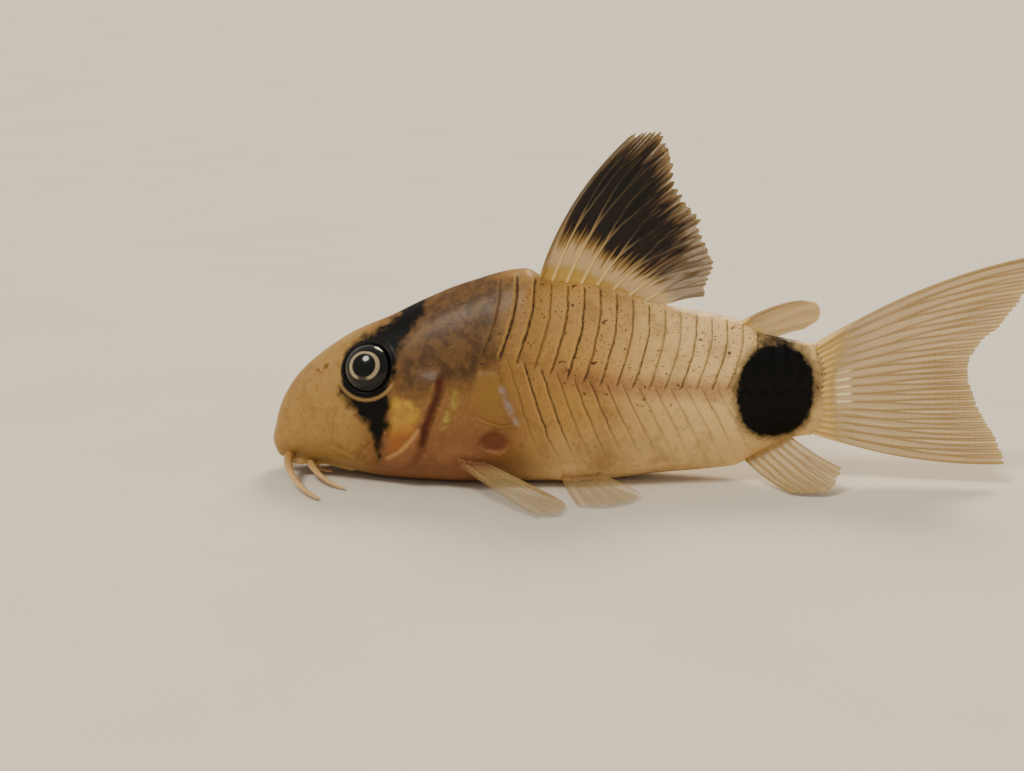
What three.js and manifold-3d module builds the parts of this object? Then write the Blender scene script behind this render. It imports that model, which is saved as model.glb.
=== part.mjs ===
// A panda corydoras, life size, resting on its belly with every fin spread.
// Units are millimetres. The fish's own frame has x from the snout to the tail, y to its right side,
// z up from the floor; the group is shifted at the end so that its origin is below its middle.
import * as THREE from "three";
import { mergeVertices } from "three/addons/utils/BufferGeometryUtils.js";
import Module from "manifold-3d";

const wasm = await Module();
wasm.setup();

// Driving sizes of the fish
const STANDARD_LENGTH = 38; // from the snout to the root of the tail fin, where the sections end
const GAP = 0.3; // between two pieces that touch
const MEMBRANE = 0.5; // least thickness of a fin
const RAY_RIDGE = 0.14; // how far a ray stands out of each face of the membrane
const MARGIN = 0.16; // thickness of a fin at its free edge
const AROUND = 28; // points round a body section
const SLIVER = 0.03; // detail smaller than this is cleared after the joins

// Body sections at named landmarks: x, top, bottom, half width, height of the widest point as a
// share of the depth, and the roundness of the upper and lower halves (2 is an ellipse).
const SECTIONS = [
  { at: "snout tip", x: 0, top: 2.4, bottom: 2.4, half: 0, wide: 0.5, upper: 2, lower: 2 },
  { at: "upper jaw", x: 0.2, top: 3.3, bottom: 1.65, half: 1.05, wide: 0.5, upper: 2, lower: 2 },
  { at: "lip", x: 0.6, top: 4.85, bottom: 1.05, half: 1.7, wide: 0.45, upper: 2, lower: 2 },
  { at: "mouth", x: 1.75, top: 6.85, bottom: 0.85, half: 2.45, wide: 0.42, upper: 2, lower: 2.2 },
  { at: "nostril", x: 3.9, top: 8.85, bottom: 0.75, half: 3.25, wide: 0.42, upper: 2, lower: 2.4 },
  { at: "front of eye", x: 6.1, top: 10.25, bottom: 0.3, half: 3.8, wide: 0.42, upper: 2, lower: 2.5 },
  { at: "back of eye", x: 8.5, top: 11.3, bottom: -0.08, half: 4.2, wide: 0.4, upper: 1.95, lower: 2.6 },
  { at: "nape", x: 10.9, top: 12.5, bottom: -0.14, half: 4.6, wide: 0.36, upper: 1.9, lower: 2.7 },
  { at: "shoulder", x: 13.9, top: 13.75, bottom: -0.16, half: 4.85, wide: 0.33, upper: 1.8, lower: 2.7 },
  { at: "hump", x: 18, top: 14.75, bottom: -0.16, half: 4.7, wide: 0.33, upper: 1.75, lower: 2.5 },
  { at: "dorsal spine", x: 19.4, top: 14.05, bottom: -0.16, half: 4.6, wide: 0.34, upper: 1.75, lower: 2.4 },
  { at: "pelvic fins", x: 23, top: 13.7, bottom: -0.1, half: 4.1, wide: 0.38, upper: 1.75, lower: 2.3 },
  { at: "end of dorsal", x: 26.8, top: 12.45, bottom: 0.35, half: 3.45, wide: 0.43, upper: 1.8, lower: 2.1 },
  { at: "adipose spine", x: 32.4, top: 11.45, bottom: 0.95, half: 2.35, wide: 0.48, upper: 1.9, lower: 2 },
  { at: "anal fin", x: 34.5, top: 10.4, bottom: 2.1, half: 1.85, wide: 0.5, upper: 2, lower: 2 },
  { at: "tail stalk", x: 36.3, top: 10, bottom: 3, half: 1.45, wide: 0.5, upper: 2, lower: 2 },
  { at: "tail base", x: 38, top: 9.75, bottom: 3.3, half: 0.9, wide: 0.5, upper: 2.2, lower: 2.2 },
];
// Height of the line where the two rows of plates meet
const LATERAL_LINE = [
  [15, 9.6],
  [17.4, 9.1],
  [19.6, 8.4],
  [23.1, 7.6],
  [27, 7.2],
  [31.8, 7],
  [STANDARD_LENGTH, 6.6],
];

// Tangent-limited cubic through [x, value] pairs, so that no bump appears between two landmarks.
function smoothCurve(points) {
  const slopes = points.map((p, i) => {
    if (i === 0 || i === points.length - 1) return 0;
    const before = (p[1] - points[i - 1][1]) / (p[0] - points[i - 1][0]);
    const after = (points[i + 1][1] - p[1]) / (points[i + 1][0] - p[0]);
    return before * after <= 0 ? 0 : (2 * before * after) / (before + after);
  });
  const last = points.length - 1;
  const chord = (i) => (points[i + 1][1] - points[i][1]) / (points[i + 1][0] - points[i][0]);
  slopes[0] = chord(0);
  slopes[last] = chord(last - 1);
  return (x) => {
    let i = 0;
    while (i < last - 1 && x > points[i + 1][0]) i++;
    const width = points[i + 1][0] - points[i][0];
    const t = THREE.MathUtils.clamp((x - points[i][0]) / width, 0, 1);
    const rise = points[i + 1][1] - points[i][1];
    const a = slopes[i] * width - rise;
    const b = rise - slopes[i + 1] * width;
    return points[i][1] + rise * t + t * (1 - t) * (a * (1 - t) + b * t);
  };
}

// The sections are joined along the root of x, which makes the snout round.
const alongBody = (x) => Math.sqrt(Math.max(x, 0) / STANDARD_LENGTH);
const sectionCurve = (key) => smoothCurve(SECTIONS.map((s) => [alongBody(s.x), s[key]]));
const curves = Object.fromEntries(
  ["top", "bottom", "half", "wide", "upper", "lower"].map((key) => [key, sectionCurve(key)]),
);
const lateralLine = smoothCurve(LATERAL_LINE);

function section(x) {
  const t = alongBody(x);
  const at = Object.fromEntries(Object.keys(curves).map((key) => [key, curves[key](t)]));
  at.widest = at.bottom + (at.top - at.bottom) * at.wide;
  return at;
}

// The body's surface at x and an angle from the back (0) down the right side to the belly (pi).
function skinPoint(x, angle, raise = 0) {
  const s = section(x);
  const up = Math.cos(angle);
  const out = Math.sin(angle);
  const power = 2 / (up > 0 ? s.upper : s.lower);
  const rise = (up > 0 ? s.top - s.widest : s.widest - s.bottom) + raise;
  const y = Math.sign(out) * (s.half + raise) * Math.abs(out) ** power;
  const z = s.widest + Math.sign(up) * rise * Math.abs(up) ** power;
  return new THREE.Vector3(x, y, Math.max(z, -raise));
}

// The angle on the right side at which the surface has a given height.
function angleAt(x, z) {
  const s = section(x);
  const power = (z > s.widest ? s.upper : s.lower) / 2;
  const share = z > s.widest ? (z - s.widest) / (s.top - s.widest) : (s.widest - z) / (s.widest - s.bottom);
  const cosine = THREE.MathUtils.clamp(share, 0, 1) ** power;
  return Math.acos(z > s.widest ? cosine : -cosine);
}

function skinNormal(x, angle) {
  const step = 0.05;
  const lengthwise = skinPoint(x + step, angle).sub(skinPoint(x - step, angle));
  const around = skinPoint(x, angle + step).sub(skinPoint(x, angle - step));
  return lengthwise.cross(around).normalize();
}

// A point on one flank (side 1 is right, -1 is left), moved along the surface's normal.
function flankPoint(side, x, angle, offset) {
  const p = skinPoint(x, angle).addScaledVector(skinNormal(x, angle), offset);
  return new THREE.Vector3(p.x, p.y * side, p.z);
}

// Closed solids from points and triangles
function solid(points, triangles) {
  const positions = new Float32Array(points.flatMap((p) => [p.x, p.y, p.z]));
  const geometry = new THREE.BufferGeometry();
  geometry.setAttribute("position", new THREE.BufferAttribute(positions, 3));
  geometry.setIndex(triangles.flat());
  return fromGeometry(geometry);
}

function fromGeometry(geometry) {
  geometry.deleteAttribute("normal");
  geometry.deleteAttribute("uv");
  const merged = mergeVertices(geometry, 1e-3);
  const made = new wasm.Manifold(
    new wasm.Mesh({
      numProp: 3,
      vertProperties: merged.attributes.position.array,
      triVerts: new Uint32Array(merged.index.array),
    }),
  );
  if (made.volume() > 0) return made;
  const flipped = new Uint32Array(merged.index.array).reverse();
  return new wasm.Manifold(
    new wasm.Mesh({ numProp: 3, vertProperties: merged.attributes.position.array, triVerts: flipped }),
  );
}

// Rings of equal count joined into a closed skin, each end closed round its middle.
function loft(rings) {
  const count = rings[0].length;
  const points = rings.flat();
  const triangles = [];
  for (let r = 0; r < rings.length - 1; r++) {
    for (let i = 0; i < count; i++) {
      const j = (i + 1) % count;
      const [a, b, c, d] = [r * count + i, r * count + j, (r + 1) * count + j, (r + 1) * count + i];
      triangles.push([a, b, c], [a, c, d]);
    }
  }
  for (const [ring, turned] of [
    [0, true],
    [rings.length - 1, false],
  ]) {
    const middle = new THREE.Vector3();
    rings[ring].forEach((p) => middle.add(p));
    points.push(middle.divideScalar(count));
    for (let i = 0; i < count; i++) {
      const [a, b] = [ring * count + i, ring * count + ((i + 1) % count)];
      triangles.push(turned ? [points.length - 1, b, a] : [points.length - 1, a, b]);
    }
  }
  return solid(points, triangles);
}

// A sheet with a front and a back, both split the same way. front and back are [column][row].
function sheet(front, back) {
  const columns = front.length;
  const rows = front[0].length;
  const points = [...front.flat(), ...back.flat()];
  const at = (side, c, r) => side * columns * rows + c * rows + r;
  const triangles = [];
  for (let c = 0; c < columns - 1; c++) {
    for (let r = 0; r < rows - 1; r++) {
      const cell = [[c, r], [c + 1, r], [c + 1, r + 1], [c, r + 1]];
      const [f, b] = [0, 1].map((side) => cell.map(([column, row]) => at(side, column, row)));
      triangles.push([f[0], f[1], f[2]], [f[0], f[2], f[3]], [b[0], b[2], b[1]], [b[0], b[3], b[2]]);
    }
  }
  const border = [];
  for (let c = 0; c < columns; c++) border.push([c, 0]);
  for (let r = 1; r < rows; r++) border.push([columns - 1, r]);
  for (let c = columns - 2; c >= 0; c--) border.push([c, rows - 1]);
  for (let r = rows - 2; r > 0; r--) border.push([0, r]);
  border.forEach(([c, r], i) => {
    const [d, s] = border[(i + 1) % border.length];
    triangles.push([at(0, c, r), at(1, c, r), at(1, d, s)], [at(0, c, r), at(1, d, s), at(0, d, s)]);
  });
  return solid(points, triangles);
}

function join(pieces) {
  return wasm.Manifold.union(pieces);
}

function largest(made) {
  return made.decompose().sort((a, b) => b.volume() - a.volume())[0];
}

function toGeometry(made) {
  const { vertProperties, triVerts, numProp } = made.getMesh();
  const positions = new Float32Array((vertProperties.length / numProp) * 3);
  for (let i = 0; i < positions.length / 3; i++) {
    positions.set(vertProperties.subarray(i * numProp, i * numProp + 3), i * 3);
  }
  const geometry = new THREE.BufferGeometry();
  geometry.setAttribute("position", new THREE.BufferAttribute(positions, 3));
  geometry.setIndex(new THREE.BufferAttribute(new Uint32Array(triVerts), 1));
  return geometry;
}

const point = (x, y, z) => new THREE.Vector3(x, y, z);
const mirrored = (p, side) => point(p.x, p.y * side, p.z);

// A round feeler along a curve, tapering from one radius to the other; nothing of it goes below the floor.
function taperedTube(path, from, to, start, end, sides, steps) {
  const rings = [];
  for (let k = 0; k <= steps; k++) {
    const t = k / steps;
    const along = THREE.MathUtils.lerp(from, to, t);
    const radius = THREE.MathUtils.lerp(start, end, t);
    const middle = path.getPoint(along);
    const tangent = path.getTangent(along);
    const across = point(0, 0, 1).cross(tangent).normalize();
    const over = tangent.clone().cross(across).normalize();
    const ring = [];
    for (let i = 0; i < sides; i++) {
      const turn = (2 * Math.PI * (i + 0.5)) / sides;
      const p = middle.clone();
      p.addScaledVector(across, radius * Math.cos(turn)).addScaledVector(over, radius * Math.sin(turn));
      ring.push(p.setZ(Math.max(p.z, 0)));
    }
    rings.push(ring);
  }
  return loft(rings);
}

// The whole body as one solid, optionally grown outwards, later parted by thin cuts
function bodyStations() {
  const stations = [0.03, 0.12, 0.3, 0.6, 1, 1.5, 2.1, 2.8];
  for (let x = 3.6; x < STANDARD_LENGTH - 0.3; x += 1.1) stations.push(x);
  stations.push(STANDARD_LENGTH);
  return stations;
}

function wholeBody(raise = 0) {
  const turns = Array.from({ length: AROUND }, (_, i) => (2 * Math.PI * i) / AROUND);
  return loft(bodyStations().map((x) => turns.map((turn) => skinPoint(x, turn, raise))));
}

// Bony plates: two rows on each flank, like shingles, each rear edge standing over the next plate.
const PLATE = { lift: 0.3, front: 0.05, root: 0.55, overlap: 0.22, bands: 3, corner: 0.05, uneven: 0.02 };
const PLATE_TOP = 0.42; // angle from the back at which the upper row ends
const PLATE_FOOT = { x: [17, STANDARD_LENGTH], angle: [1.15, 0.35] }; // the lower row's, from the belly
const UPPER_ROW = { count: 21, first: 15.3, pitch: [1.17, 1], slant: 1, high: true };
const LOWER_ROW = { count: 18, first: 18.3, pitch: [1.14, 1], slant: 2.7, high: false };

// How far a plate's edge has moved back at a share of its height away from the lateral line.
function chevron(row, share) {
  if (row.high) return row.slant * Math.sin((Math.PI / 2) * Math.min(1, share / 0.65));
  return row.slant * (1 - (1 - share) ** 1.6);
}

function plateAngle(row, x, share) {
  const middle = angleAt(x, lateralLine(x));
  const foot = THREE.MathUtils.mapLinear(x, ...PLATE_FOOT.x, ...PLATE_FOOT.angle);
  const edge = row.high ? PLATE_TOP : Math.PI - foot;
  return THREE.MathUtils.lerp(middle, edge, share);
}

function plateEdges(row) {
  const edges = [row.first - row.pitch[0]];
  for (let i = 0; i < row.count; i++) {
    edges.push(edges[i] + THREE.MathUtils.lerp(row.pitch[0], row.pitch[1], i / (row.count - 1)));
  }
  return edges;
}

function plate(row, side, front, rear, reach) {
  const outer = [[], []];
  const inner = [[], []];
  for (let k = 0; k <= PLATE.bands; k++) {
    [front - PLATE.overlap, rear].forEach((base, c) => {
      const inset = c * PLATE.corner;
      const share = THREE.MathUtils.lerp(inset, reach - inset, k / PLATE.bands);
      const x = Math.min(base + chevron(row, share), STANDARD_LENGTH - 0.1);
      const angle = plateAngle(row, x, share);
      outer[c].push(flankPoint(side, x, angle, c ? PLATE.lift : PLATE.front));
      inner[c].push(flankPoint(side, x, angle, -PLATE.root));
    });
  }
  return sheet(outer, inner);
}

function allPlates() {
  const made = [];
  for (const row of [UPPER_ROW, LOWER_ROW]) {
    const edges = plateEdges(row);
    for (let i = 0; i < row.count; i++) {
      // Neighbouring plates end at slightly different heights.
      const reach = 1 - PLATE.uneven * (i % 3);
      for (const side of [1, -1]) made.push(plate(row, side, edges[i], edges[i + 1], reach));
    }
  }
  return made;
}

// A bony flap on a flank: flush at its front and standing out along its rear and lower edge.
const FLAP_ROOT = 0.65; // how deep a flap is sunk into the flank
const FLAP_FLUSH = 0.04; // how far its front edge lies below the skin
const FLAP_OPEN = -0.45; // the way it opens: backwards and a little down

function flap(side, { x, z, length, height, lift, tip = 0 }) {
  const middle = angleAt(x, z);
  const turns = 16;
  const ring = (share, sunk) => {
    const points = [];
    for (let i = 0; i < turns; i++) {
      const turn = (2 * Math.PI * i) / turns;
      const rearward = Math.max(0, Math.cos(turn));
      const dx = length * share * Math.cos(turn) * (1 + tip * rearward ** 2);
      const dAngle = (-height * share * Math.sin(turn) * (1 - 0.5 * tip * rearward)) / section(x).half;
      const open = (1 + Math.cos(turn - FLAP_OPEN) * share) / 2;
      points.push(flankPoint(side, x + dx, middle + dAngle, sunk ? -FLAP_ROOT : lift * open - FLAP_FLUSH));
    }
    return points;
  };
  return loft([ring(0.3, true), ring(1, true), ring(1), ring(0.62), ring(0.25)]);
}

const GILL_COVER = { x: 9.3, z: 4.5, length: 1.85, height: 2.3, lift: 0.5 };
const CHEEK = { x: 6.1, z: 4.3, length: 1.25, height: 1.5, lift: 0.26 };
const HUMERAL = { x: 14.7, z: 5.7, length: 1.7, height: 1.7, lift: 0.42, tip: 0.5 };

// Eyes
const EYE = { x: 7.27, z: 8.3, radius: 1.72, depth: 1.2, sunk: 0.38 };
const EYE_RIM = { thick: 0.3, beyond: 0.18, sunk: 0.22 }; // beyond: past the gap round the ball

function eyeFrame(side) {
  const angle = angleAt(EYE.x, EYE.z);
  const normal = skinNormal(EYE.x, angle);
  normal.y *= side;
  const middle = flankPoint(side, EYE.x, angle, -EYE.sunk);
  const turn = new THREE.Quaternion().setFromUnitVectors(point(0, 0, 1), normal);
  return { middle, turn };
}

function eyeBall(side, grow = 0, segments = 18) {
  const { middle, turn } = eyeFrame(side);
  const ball = new THREE.SphereGeometry(1, segments, segments / 2);
  ball.scale(EYE.radius + grow, EYE.radius + grow, EYE.depth + grow);
  ball.applyQuaternion(turn);
  ball.translate(middle.x, middle.y, middle.z);
  return fromGeometry(ball);
}

function eyeRim(side) {
  const angle = angleAt(EYE.x, EYE.z);
  const { turn } = eyeFrame(side);
  const ring = new THREE.TorusGeometry(EYE.radius + GAP + EYE_RIM.beyond, EYE_RIM.thick, 5, 18);
  const middle = flankPoint(side, EYE.x, angle, -EYE_RIM.sunk);
  ring.applyQuaternion(turn);
  ring.translate(middle.x, middle.y, middle.z);
  return fromGeometry(ring);
}

// Nostrils: a short tube in front of each eye
const NOSTRIL = { x: 4.35, z: 7.9, outer: 0.42, inner: 0.17, deep: 0.7, stand: 0.22 };

function nostril(side, radius, inside, outside) {
  const angle = angleAt(NOSTRIL.x, NOSTRIL.z);
  const normal = skinNormal(NOSTRIL.x, angle);
  normal.y *= side;
  const low = flankPoint(side, NOSTRIL.x, angle, -inside);
  const high = flankPoint(side, NOSTRIL.x, angle, outside);
  const height = low.distanceTo(high);
  const tube = new THREE.CylinderGeometry(radius, radius * 1.25, height, 9);
  tube.applyQuaternion(new THREE.Quaternion().setFromUnitVectors(point(0, 1, 0), normal));
  const middle = low.add(high).divideScalar(2);
  tube.translate(middle.x, middle.y, middle.z);
  return fromGeometry(tube);
}

// The mouth: two fleshy lips under the snout with a groove between them
const MOUTH = { corner: 2.95, cornerRise: 0.12, bendAt: 0.62, bendHalf: 0.86 };
const UPPER_LIP = { front: 1.35, half: 1.7, height: 0.95, radius: 0.36 };
const LOWER_LIP = { front: 2.2, half: 1.25, height: 0.85, radius: 0.32 };
const LIP_GROOVE = { front: 1.79, half: 1.5, height: 0.65, radius: 0.15 };

// A rope bent round the mouth from one corner to the other
function lipRope({ front, half, height, radius }, sides, steps) {
  const bend = THREE.MathUtils.lerp(MOUTH.corner, front, MOUTH.bendAt);
  const curve = new THREE.CatmullRomCurve3([
    point(MOUTH.corner, -half, height + MOUTH.cornerRise),
    point(bend, -half * MOUTH.bendHalf, height),
    point(front, 0, height),
    point(bend, half * MOUTH.bendHalf, height),
    point(MOUTH.corner, half, height + MOUTH.cornerRise),
  ]);
  return taperedTube(curve, 0, 1, radius, radius, sides, steps);
}

// Feelers: three on each side, each on a short fleshy root that is part of the head
const BARBELS = [
  {
    name: "upper_barbel",
    root: 0.36,
    tip: 0.13,
    path: [[1.5, 1.2, 1.55], [1.2, 3.6, 1.7], [2.4, 6, 0.55], [4.5, 7.4, 0.2]],
  },
  {
    name: "lower_barbel",
    root: 0.31,
    tip: 0.12,
    path: [[2.75, 1.1, 1.15], [3, 2.8, 1.15], [4, 4.2, 0.4], [5.9, 5, 0.2]],
  },
  {
    name: "chin_barbel",
    root: 0.26,
    tip: 0.14,
    path: [[2.35, 0.45, 1.15], [2.6, 0.6, 0.35], [3.4, 0.95, 0.26], [4.3, 1.3, 0.25]],
  },
];
const BARBEL_ROOT = 0.3; // share of the path that belongs to the head

function barbelCurve(barbel, side) {
  const [a, b, c, d] = barbel.path.map(([x, y, z]) => mirrored(point(x, y, z), side));
  return new THREE.CubicBezierCurve3(a, b, c, d);
}

function barbelRadius(barbel, share) {
  return THREE.MathUtils.lerp(barbel.root, barbel.tip, share);
}

// Fins: a fan of rays from a root line to a margin, with ridges along the rays.
// roots, elbows and tips are curves read at the same share; the web between two rays stops short.
const ROOT_REACH = 0.2; // share of a ray over which its thick root thins out

function fin({ rays, rows, roots, elbows, tips, notch = 0.05, rootThick = 0.9, spine = 0 }) {
  const columns = 2 * rays - 1;
  const middle = [];
  for (let c = 0; c < columns; c++) {
    const share = c / (columns - 1);
    const reach = c % 2 ? 1 - notch : 1;
    const ray = new THREE.QuadraticBezierCurve3(roots(share), elbows(share), tips(share));
    middle.push(Array.from({ length: rows + 1 }, (_, r) => ray.getPoint((r / rows) * reach)));
  }
  const front = [];
  const back = [];
  for (let c = 0; c < columns; c++) {
    front.push([]);
    back.push([]);
    for (let r = 0; r <= rows; r++) {
      const across = middle[Math.min(c + 1, columns - 1)][r].clone().sub(middle[Math.max(c - 1, 0)][r]);
      const along = middle[c][Math.min(r + 1, rows)].clone().sub(middle[c][Math.max(r - 1, 0)]);
      const normal = across.cross(along).normalize();
      const t = r / rows;
      let thickness = THREE.MathUtils.lerp(rootThick, MEMBRANE, Math.min(1, t / ROOT_REACH));
      if (c % 2 === 0) thickness += 2 * RAY_RIDGE * (1 - t);
      if (c === 0) thickness += spine * (1 - t);
      if (r === rows) thickness = MARGIN;
      const f = middle[c][r].clone().addScaledVector(normal, thickness / 2);
      const b = middle[c][r].clone().addScaledVector(normal, -thickness / 2);
      // Where the fin lies on the floor it is raised by what would be below it.
      const under = Math.min(f.z, b.z, 0);
      f.z -= under;
      b.z -= under;
      front[c].push(f);
      back[c].push(b);
    }
  }
  return sheet(front, back);
}

function lineCurve(points) {
  const curve = new THREE.CatmullRomCurve3(points.map((p) => point(...p)), false, "centripetal");
  return (share) => curve.getPoint(share);
}

// Each ray bends over an elbow half way along it, which the bow moves off the straight line: bow holds
// the moves of the first and the last ray.
function fannedFin({ root, margin, bow, ...rest }) {
  const roots = lineCurve(root);
  const tips = lineCurve(margin);
  const bows = bow.map((move) => point(...move));
  const elbows = (s) => roots(s).lerp(tips(s), 0.5).add(bows[0].clone().lerp(bows[1], s));
  return fin({ roots, tips, elbows, ...rest });
}

const DORSAL = {
  rays: 9,
  rows: 8,
  root: [[18.6, 0, 13.3], [22.5, 0, 13], [26.7, 0, 11.9]],
  margin: [
    [25.3, 0, 24.2],
    [27.3, 0, 24.5],
    [28.2, 0, 21.4],
    [29.9, 0, 18.4],
    [30.8, 0, 15.3],
    [30.4, 0, 12.95],
  ],
  bow: [[-1.6, 0, 1], [-0.3, 0, 0.4]],
  spine: 0.3,
  notch: 0.06,
};
const ADIPOSE = {
  rays: 4,
  rows: 5,
  root: [[32.7, 0, 11.1], [33.7, 0, 10.4], [34.7, 0, 9.9]],
  margin: [[36.9, 0, 12.8], [38, 0, 12.5], [38.1, 0, 11.6], [37.1, 0, 10.75]],
  bow: [[-0.2, 0, 0.5], [-0.1, 0, 0.2]],
  notch: 0.03,
  rootThick: 0.7,
};
const ANAL = {
  rays: 8,
  rows: 6,
  root: [[33, 0, 1.7], [34.6, 0, 2.6], [36.1, 0, 3.4]],
  margin: [[36.4, -4.1, 0.25], [37.8, -4.4, 0.3], [39.2, -3.9, 0.7], [39.8, -2.9, 1.7]],
  bow: [[-0.2, -0.1, -0.45], [-0.2, -0.1, -0.25]],
};
const CAUDAL = {
  rays: 17,
  rows: 8,
  root: [[37.9, 0, 9.6], [37.9, 0, 6.5], [37.9, 0, 3.45]],
  margin: [
    [53, -0.6, 16.3],
    [51.2, 0.1, 12.2],
    [48.5, 0.2, 8.6],
    [48.9, 0, 6.2],
    [50.2, -0.3, 4],
    [51.3, -0.7, 1.6],
  ],
  bow: [[-0.3, 0.4, 1.7], [0, 0.3, -1.5]],
  notch: 0.035,
  rootThick: 1.7,
};
const PECTORAL = {
  rays: 9,
  rows: 7,
  root: [[12.9, 3.9, 2.5], [13.9, 3.8, 2.3], [14.9, 3.9, 2.1]],
  margin: [[19.4, 10.3, 0.3], [20.9, 9.6, 0.25], [21.3, 8.3, 0.25], [20.8, 7.1, 0.3], [19.4, 6, 0.5]],
  bow: [[-0.5, 0.6, 0.25], [-0.2, 0.3, 0.2]],
  spine: 0.3,
};
const PELVIC = {
  rays: 6,
  rows: 6,
  root: [[20.4, 2.3, 1], [21.4, 2.2, 1], [22.4, 2.3, 1.05]],
  margin: [[21.9, 7.7, 0.25], [23.7, 7.9, 0.25], [25.3, 7, 0.25], [26.2, 5.3, 0.35]],
  bow: [[-0.2, 0.4, 0.1], [0.2, 0.2, 0.1]],
};

function pairedFin(sizes, side) {
  const flip = (points) => points.map(([x, y, z]) => [x, y * side, z]);
  return fannedFin({ ...sizes, root: flip(sizes.root), margin: flip(sizes.margin), bow: flip(sizes.bow) });
}

// Thin cuts: the head ends behind the gill covers, and the tail stalk begins behind the dorsal fin.
const GILL_CUT = { x: 10.9, slope: 0.16 };
const STALK_CUT = { x: 31.7, slope: 0 };
const SLAB = { low: -2, high: 30, wide: 40 }; // reaches past the fish on every side

function cutSlab({ x, slope }, from, to) {
  const shape = new THREE.Shape();
  const { low, high, wide } = SLAB;
  shape.moveTo(x + slope * low + from, low);
  shape.lineTo(x + slope * low + to, low);
  shape.lineTo(x + slope * high + to, high);
  shape.lineTo(x + slope * high + from, high);
  const slab = new THREE.ExtrudeGeometry(shape, { depth: wide, bevelEnabled: false });
  slab.rotateX(Math.PI / 2);
  slab.translate(0, wide / 2, 0);
  return fromGeometry(slab);
}

// Materials
const material = (color, roughness) => new THREE.MeshStandardMaterial({ color, roughness, metalness: 0 });
const FLESH = material("#c9a888", 0.45);
const STALK = material("#b89878", 0.45);
const FIN = material("#cdbb96", 0.5);
const EYE_BLACK = material("#16130f", 0.1);
const FEELER = material("#d4b894", 0.5);

const fish = new THREE.Group();

// Slivers left by the joins are cleared, and of each node only its one largest closed body is kept.
function add(name, made, finish) {
  const cleared = largest(made.simplify(SLIVER));
  const kept = largest(fromGeometry(toGeometry(cleared)));
  const mesh = new THREE.Mesh(toGeometry(kept), finish);
  mesh.name = name;
  fish.add(mesh);
}

const SIDES = [
  ["right", 1],
  ["left", -1],
];

// Head
const body = wholeBody();
const farBack = 60;
const behindGills = cutSlab(GILL_CUT, 0, farBack);
const beforeGills = cutSlab(GILL_CUT, -farBack, GAP);
const headPieces = [body, lipRope(UPPER_LIP, 7, 10), lipRope(LOWER_LIP, 7, 9)];
for (const [, side] of SIDES) {
  headPieces.push(flap(side, GILL_COVER), flap(side, CHEEK), eyeRim(side));
  headPieces.push(nostril(side, NOSTRIL.outer, NOSTRIL.deep, NOSTRIL.stand));
}
let head = join(headPieces).subtract(behindGills).subtract(lipRope(LIP_GROOVE, 5, 9));
for (const [, side] of SIDES) {
  head = head.subtract(eyeBall(side, GAP));
  head = head.subtract(nostril(side, NOSTRIL.inner, NOSTRIL.deep * 0.6, NOSTRIL.stand * 2));
  for (const barbel of BARBELS) {
    const curve = barbelCurve(barbel, side);
    const rootTip = barbelRadius(barbel, BARBEL_ROOT);
    head = head.add(taperedTube(curve, 0, BARBEL_ROOT, barbel.root, rootTip, 8, 4));
  }
}
add("head", head, FLESH);

// Trunk and tail stalk, with their plates
const plated = join([body, ...allPlates(), ...SIDES.map(([, side]) => flap(side, HUMERAL))]);
const trunk = plated.subtract(beforeGills).subtract(cutSlab(STALK_CUT, 0, farBack));
add("trunk", trunk, FLESH);
add("tail_stalk", plated.subtract(cutSlab(STALK_CUT, -farBack, GAP)), STALK);

// Eyes and feelers
for (const [name, side] of SIDES) {
  add(`eye_${name}`, eyeBall(side), EYE_BLACK);
  for (const barbel of BARBELS) {
    const curve = barbelCurve(barbel, side);
    const start = BARBEL_ROOT + GAP / curve.getLength();
    const tube = taperedTube(curve, start, 1, barbelRadius(barbel, start), barbel.tip, 8, 8);
    add(`${barbel.name}_${name}`, tube, FEELER);
  }
}

// Fins, each parted from the body by a face that follows the body's surface
const clearance = wholeBody(GAP);
add("dorsal_fin", fannedFin(DORSAL).subtract(clearance), FIN);
add("adipose_fin", fannedFin(ADIPOSE).subtract(clearance), FIN);
add("anal_fin", fannedFin(ANAL).subtract(clearance), FIN);
const tailBase = cutSlab({ x: STANDARD_LENGTH, slope: 0 }, -farBack, GAP);
add("caudal_fin", fannedFin(CAUDAL).subtract(tailBase), FIN);
for (const [name, side] of SIDES) {
  add(`pectoral_fin_${name}`, pairedFin(PECTORAL, side).subtract(clearance), FIN);
  add(`pelvic_fin_${name}`, pairedFin(PELVIC, side).subtract(clearance), FIN);
}

// The origin is on the floor below the middle of the whole fish.
const bounds = new THREE.Box3().setFromObject(fish);
const centre = bounds.getCenter(new THREE.Vector3());
fish.position.set(-centre.x, -centre.y, -bounds.min.z);

export default fish;
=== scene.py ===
"""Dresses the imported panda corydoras: one moist skin over the body, ray fins, feelers and wet eyes."""

import math
from typing import NamedTuple

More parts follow.
